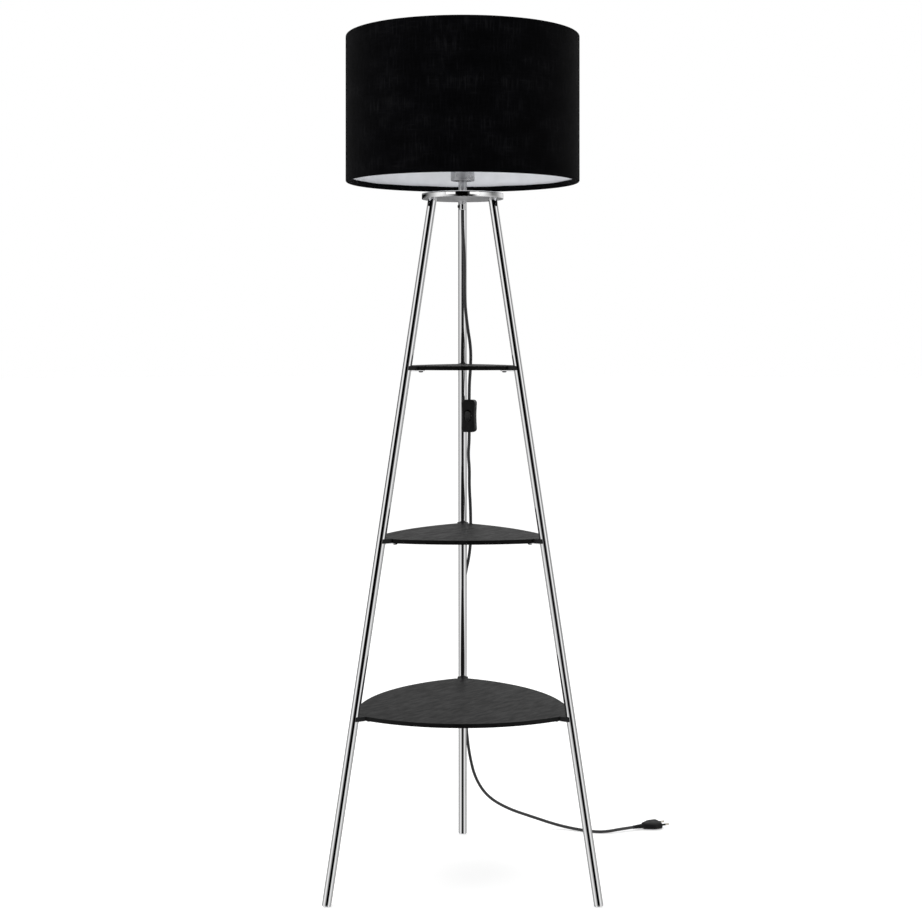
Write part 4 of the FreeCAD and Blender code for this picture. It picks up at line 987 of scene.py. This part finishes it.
def plug_half_width(along):
    """Half the plug's width at a distance from its neck: a ribbed slope, then straight sides."""
    share = min(max(along / PLUG_SLOPE, 0), 1)
    smooth = share * share * (3 - 2 * share) * PLUG_SWELL + share * (1 - PLUG_SWELL)
    width = PLUG_NECK + (PLUG_HALF_WIDTH - PLUG_NECK) * smooth
    start, end, ribs, depth = FINGER_RIBS
    if start < along < end:
        width -= depth * (0.5 - 0.5 * cos((along - start) / (end - start) * 2 * pi * ribs))
    return width


slices = [(0.0, 0.0026), (0.0002, 0.0016), (0.0008, 0.0007), (0.0016, 0.0002), (0.0026, 0)]
slices += [(0.0026 + 0.00045 * step, 0) for step in range(1, 36)]
slices += [(0.021, 0), (0.026, 0), (0.031, 0), (0.0348, 0), (0.0355, 0.0002), (0.0359, 0.0006)]
slices += [(PLUG_LENGTH, 0.0011)]
rows = []
for along, inset in slices:
    half = plug_half_width(along) - inset
    thinner = PLUG_THINNING * (1 - min(along / PLUG_THIN_LENGTH, 1))
    thick = PLUG_HALF_THICKNESS - inset - thinner
    loop = []
    for angle in angles_round(64):
        across, up = cos(angle), sin(angle)
        total = abs(across) ** PLUG_SQUARENESS + abs(up) ** PLUG_SQUARENESS
        spread = total ** (-1 / PLUG_SQUARENESS)
        loop.append(plug_place @ Vector((along, half * across * spread, thick * up * spread)))
    rows.append(loop)
plug = made_piece("plug_moulding", skin(rows), grained_black, "plug_body")

# Nickel plating on brass, which shows through where the pins are rubbed.
nickel = new_finish("nickel_plate", (0.66, 0.63, 0.57), 0.2, METAL)
rubbed = cloudiness(nickel, 500, 4)
roughened(nickel, rubbed, 0.14, 0.34, 0.35, 0.7)
coloured(nickel, rubbed, (0.4, (0.7, 0.67, 0.61)), (0.75, (0.6, 0.55, 0.46)))

pins = bmesh.new()
sleeves = bmesh.new()
sideways = spun(90, "Y")
for way in (1, -1):
    place = plug_place @ moved(PLUG_LENGTH, way * PIN_SPACING / 2, 0) @ sideways
    outline = [(PIN_CORE, -PIN_ROOT), (PIN_CORE, PIN_BARE), (PIN_RADIUS, PIN_BARE)]
    outline += rounded(PIN_RADIUS, PIN_LENGTH, PIN_ROUND, 8, top=True)
    turned(outline, place, 40, shape=pins)
    outline = [(SLEEVE_BORE, 0), (PIN_RADIUS, 0), (PIN_RADIUS, SLEEVE_END - 0.0002)]
    outline += [(PIN_RADIUS - 0.0001, SLEEVE_END), (SLEEVE_BORE, SLEEVE_END)]
    turned(outline, place, 40, ring=True, shape=sleeves)
pin_pair = made_piece("plug_pin_pair", pins, nickel, "plug_pins")
pin_sleeves = made_piece("plug_pin_sleeves", sleeves, smooth_black)

start, end, pitch, depth = RELIEF_GROOVES
outline = [(CORD_THICKNESS / 2, 0)]
for step in range(RELIEF_ROWS + 1):
    along = RELIEF_LENGTH * step / RELIEF_ROWS
    radius = RELIEF_TIP + (RELIEF_RADIUS - RELIEF_TIP) * step / RELIEF_ROWS - 0.0002 * (step == 0)
    if start < along < end:
        radius -= depth * (0.5 - 0.5 * cos(2 * pi * (along - start) / pitch))
    outline.append((radius, along))
outline += [(CORD_THICKNESS / 2, RELIEF_LENGTH)]
taper = turned(outline, plug_place @ moved(-RELIEF_LENGTH, 0, 0) @ sideways, 48, ring=True)
relief_taper = made_piece("plug_relief_taper", taper, grained_black, "plug_relief")

# Cord: a round black sheathed mains lead, 5.8 mm thick. It leaves the grip, hangs past the upper
# shelf to the switch, runs down behind the rear leg and lies on the floor in a loose curve as far
# as its plug.

PLUG_WAY = polar(1, radians(PLUG_TURN))

above_switch = [
    (0, 0, 1.2155), (0, 0, 1.182), (0.0038, 0.009, 1.124), (0.0032, 0.038, 1.060),
    (0.0082, 0.072, 1.008), (0.0156, 0.0965, 0.964), (0.015, 0.104, 0.926),
    SWITCH_CENTRE + Vector((0, 0, HALF_SWITCH + 0.028)),
    SWITCH_CENTRE + Vector((0, 0, HALF_SWITCH)),
]
below_switch = [
    SWITCH_CENTRE - Vector((0, 0, HALF_SWITCH)),
    SWITCH_CENTRE - Vector((0, 0, HALF_SWITCH + 0.018)),
    (0.0104, 0.1045, 0.765), (0.013, 0.115, 0.736), (0.0126, 0.131, 0.700),
    (0.015, 0.148, 0.662), (0.0156, 0.158, 0.624), (0.0154, 0.168, 0.592),
    (0.0126, 0.185, 0.560), (0.005, 0.200, 0.524), (-0.001, 0.212, 0.474),
    (-0.002, 0.222, 0.414), (0.0005, 0.229, 0.354), (0.002, 0.237, 0.298),
    (0.006, 0.245, 0.248), (0.0082, 0.252, 0.204), (0.0134, 0.257, 0.160),
    (0.0245, 0.264, 0.112), (0.049, 0.271, 0.073), (0.090, 0.282, 0.046),
    (0.140, 0.294, 0.026), (0.188, 0.301, 0.008), (0.232, 0.285, 0.003), (0.276, 0.268, 0.003),
    PLUG_PLACE - PLUG_WAY * (RELIEF_LENGTH + 0.025),
    PLUG_PLACE - PLUG_WAY * RELIEF_LENGTH,
]

# Black sheath of soft plastic, with a faint haze.
sheath = new_finish("cord_sheath", (0.035, 0.035, 0.036), 0.42)
roughened(sheath, cloudiness(sheath, 500, 3), 0.36, 0.52, 0.3, 0.7)


def make_cord(name, points, node):
    """A smooth tube led by its route's points."""
    curve = bpy.data.curves.new(name, "CURVE")
    curve.dimensions = "3D"
    spline = curve.splines.new("NURBS")
    spline.points.add(len(points) - 1)
    for point, place in zip(spline.points, points):
        point.co = (*place, 1)
    spline.order_u = 3
    spline.use_endpoint_u = True
    spline.resolution_u = 12
    curve.bevel_depth = CORD_THICKNESS / 2
    curve.bevel_resolution = 6
    curve.use_fill_caps = True
    curve.materials.append(sheath)
    cord = placed(name, curve)
    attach(cord, "lamp")
    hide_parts(node)
    return cord


cord_above = make_cord("cord_above_switch", above_switch, "upper_cord")
cord_below = make_cord("cord_below_switch", below_switch, "lower_cord")

# Studio: a pale floor that keeps the lamp's shadow, a white room, and large soft lamps. In the
# metal, the room has one dark gap in front and one behind, which draw the dark line down each tube.

FLOOR_RADIUS = 30
FLOOR_GLOW = 0.35
ROOM_LIGHT = 0.75
BACK_WALL = 0.5

# Matt white, and a little brighter to the camera than the light on it makes it.
pale = new_finish("pale_floor", (0.9, 0.9, 0.9), 0.9, {"Specular IOR Level": 0.1})
nodes = pale.node_tree.nodes
to_camera = new_node(pale, "LightPath", "Is Camera Ray", {})
strength = maths(pale, "MULTIPLY", to_camera, FLOOR_GLOW)
glow = new_node(pale, "Emission", "Emission", {"Strength": strength})
matt = nodes["Principled BSDF"].outputs["BSDF"]
both = new_node(pale, "AddShader", "Shader", {0: matt, 1: glow})
feed(pale, nodes["Material Output"], {"Surface": both})

disc = bmesh.new()
bmesh.ops.create_circle(disc, cap_ends=True, segments=96, radius=FLOOR_RADIUS)
floor = placed("floor", mesh_of("floor", disc))
floor.data.materials.append(pale)
floor.visible_glossy = False


def white_room():
    """The world. Metal sees white walls with a gap in front and behind, the rest plain white."""
    world = bpy.data.worlds.new("white_room")
    world.use_nodes = True
    nodes = world.node_tree.nodes
    nodes.clear()
    apart = nodes.new("ShaderNodeSeparateXYZ")
    feed(world, apart, {"Vector": new_node(world, "TexCoord", "Generated", {})})
    way = apart.outputs
    left, ahead = maths(world, "MULTIPLY", way["X"], -1), maths(world, "MULTIPLY", way["Y"], -1)
    share = maths(world, "DIVIDE", maths(world, "ARCTAN2", left, ahead), 2 * pi)
    turn = maths(world, "ADD", share, 0.5)

    def walls(*stops):
        """Brightness round the room, by degrees from the front. Positive angles are to the left."""
        return shades(world, turn, [(angle / 360 + 0.5, (level,) * 3) for angle, level in stops])

    def mixed(factor, first, second):
        mix = nodes.new("ShaderNodeMix")
        mix.data_type = "RGBA"
        feed(world, mix, {0: factor, 6: first, 7: second})
        return mix.outputs[2]

    def lit(colour, strength):
        inputs = {"Color": colour, "Strength": strength}
        return new_node(world, "Background", "Background", inputs)

    def chosen(*inputs):
        return new_node(world, "MixShader", "Shader", dict(enumerate(inputs)))

    upper = walls(
        (-180, 0.19), (-165, 0.59), (-150, 0.79), (-130, 0.63), (-110, 0.25), (-92, 0.17),
        (-75, 0.59), (-60, 1.0), (-50, 1.0), (-42, 0.67), (-34, 0.16), (-27, 0.08), (-20, 0.1),
        (-13, 0.0), (0, 0.0), (27, 0.0), (34, 0.0), (42, 0.25), (50, 0.77), (60, 1.0), (75, 0.86),
        (92, 0.48), (110, 0.23), (130, 0.0), (165, 0.0), (180, 0.19),
    )
    lower = walls(
        (-180, 0.01), (-165, 0.02), (-150, 0.11), (-130, 0.28), (-110, 0.42), (-92, 0.49),
        (-75, 0.62), (-60, 0.8), (-50, 0.9), (-42, 0.71), (-34, 0.3), (-27, 0.0), (0, 0.0),
        (13, 0.0), (20, 0.05), (27, 0.26), (34, 0.43), (42, 0.55), (50, 0.63), (60, 0.77),
        (75, 0.9), (92, 0.54), (110, 0.29), (130, 0.44), (150, 0.11), (180, 0.01),
    )
    ring = mixed(between(world, way["Z"], 0, 1, -0.139, 0.035), lower, upper)
    behind = walls((-180, 1.0), (-150, 1.0), (-115, 0.0), (115, 0.0), (150, 1.0), (180, 1.0))
    risen = between(world, way["Z"], 0, 1, 0.075, 0.13)
    back_wall = maths(world, "MULTIPLY", behind, maths(world, "MULTIPLY", risen, BACK_WALL))
    overhead = between(world, maths(world, "ABSOLUTE", way["Z"]), 0, 1, 0.62, 0.84)
    room = mixed(maths(world, "MAXIMUM", back_wall, overhead), ring, (0.9, 0.9, 0.9, 1))
    path = nodes.new("ShaderNodeLightPath").outputs
    white = (1, 1, 1, 1)
    reflected = chosen(path["Is Glossy Ray"], lit(white, ROOM_LIGHT), lit(room, 1))
    seen = maths(world, "MAXIMUM", path["Is Camera Ray"], path["Is Transmission Ray"])
    surface = {"Surface": chosen(seen, reflected, lit(white, 1))}
    feed(world, nodes.new("ShaderNodeOutputWorld"), surface)
    bpy.context.scene.world = world


white_room()


def soft_lamp(name, place, target, size, watts):
    """A large lamp, aimed at a target. Neither the camera nor a mirror sees it."""
    lamp = bpy.data.lights.new(name, "AREA")
    lamp.shape = "RECTANGLE"
    lamp.size, lamp.size_y = size
    lamp.energy = watts
    lamp.specular_factor = 0.3
    item = placed(name, lamp)
    item.location = place
    item.rotation_euler = (Vector(target) - Vector(place)).to_track_quat("-Z", "Y").to_euler()
    item.visible_camera = False
    item.visible_glossy = False
    return item


soft_lamp("overhead_lamp", (-0.4, -0.6, 4.4), (0, 0, 0.6), (5, 5), 90)
soft_lamp("left_lamp", (-3.0, -1.8, 1.8), (0, 0, 0.9), (1.6, 2.2), 25)

# Cards: two white cards, lit by themselves, that only the plate's cap mirrors. They leave one
# narrow dark band in the middle of its rim.

CARD_DISTANCE = 3.0
CARD_HEIGHT = 1.49
CARD_TURN = 33
CARD_SIZE = (1.4, 0.7)
CARD_WATTS = 3

cap_only = bpy.data.collections.new("seen_by_the_cap")
cap_only.objects.link(plate_cap)
for name, turn in (("left_card", -CARD_TURN), ("right_card", CARD_TURN)):
    across, ahead = CARD_DISTANCE * sin(radians(turn)), -CARD_DISTANCE * cos(radians(turn))
    place = (across, ahead, CARD_HEIGHT)
    card = soft_lamp(name, place, (0, 0, PLATE_HEIGHT), CARD_SIZE, CARD_WATTS)
    card.visible_glossy = True
    card.data.specular_factor = 1
    card.light_linking.receiver_collection = cap_only

# Camera: level, a metre above the floor and three metres in front of the lamp. Its frame is
# shifted down to take in the feet, as the photograph's is.

FRAME_PIXELS = 922
FOCAL_PIXELS = 1630
SHIFT_PIXELS = (-1.6, -134.7)
SENSOR_WIDTH = 36
CAMERA_DISTANCE = 2.957
CAMERA_HEIGHT = 1.0045

camera_data = bpy.data.cameras.new("camera")
camera_data.sensor_width = SENSOR_WIDTH
camera_data.lens = SENSOR_WIDTH * FOCAL_PIXELS / FRAME_PIXELS
camera_data.shift_x = SHIFT_PIXELS[0] / FRAME_PIXELS
camera_data.shift_y = SHIFT_PIXELS[1] / FRAME_PIXELS
camera_data.clip_end = 100
camera = placed("camera", camera_data)
camera.location = (0, -CAMERA_DISTANCE, CAMERA_HEIGHT)
camera.rotation_euler = (radians(90), 0, 0)
bpy.context.scene.camera = camera

bpy.context.scene.view_settings.view_transform = "Standard"
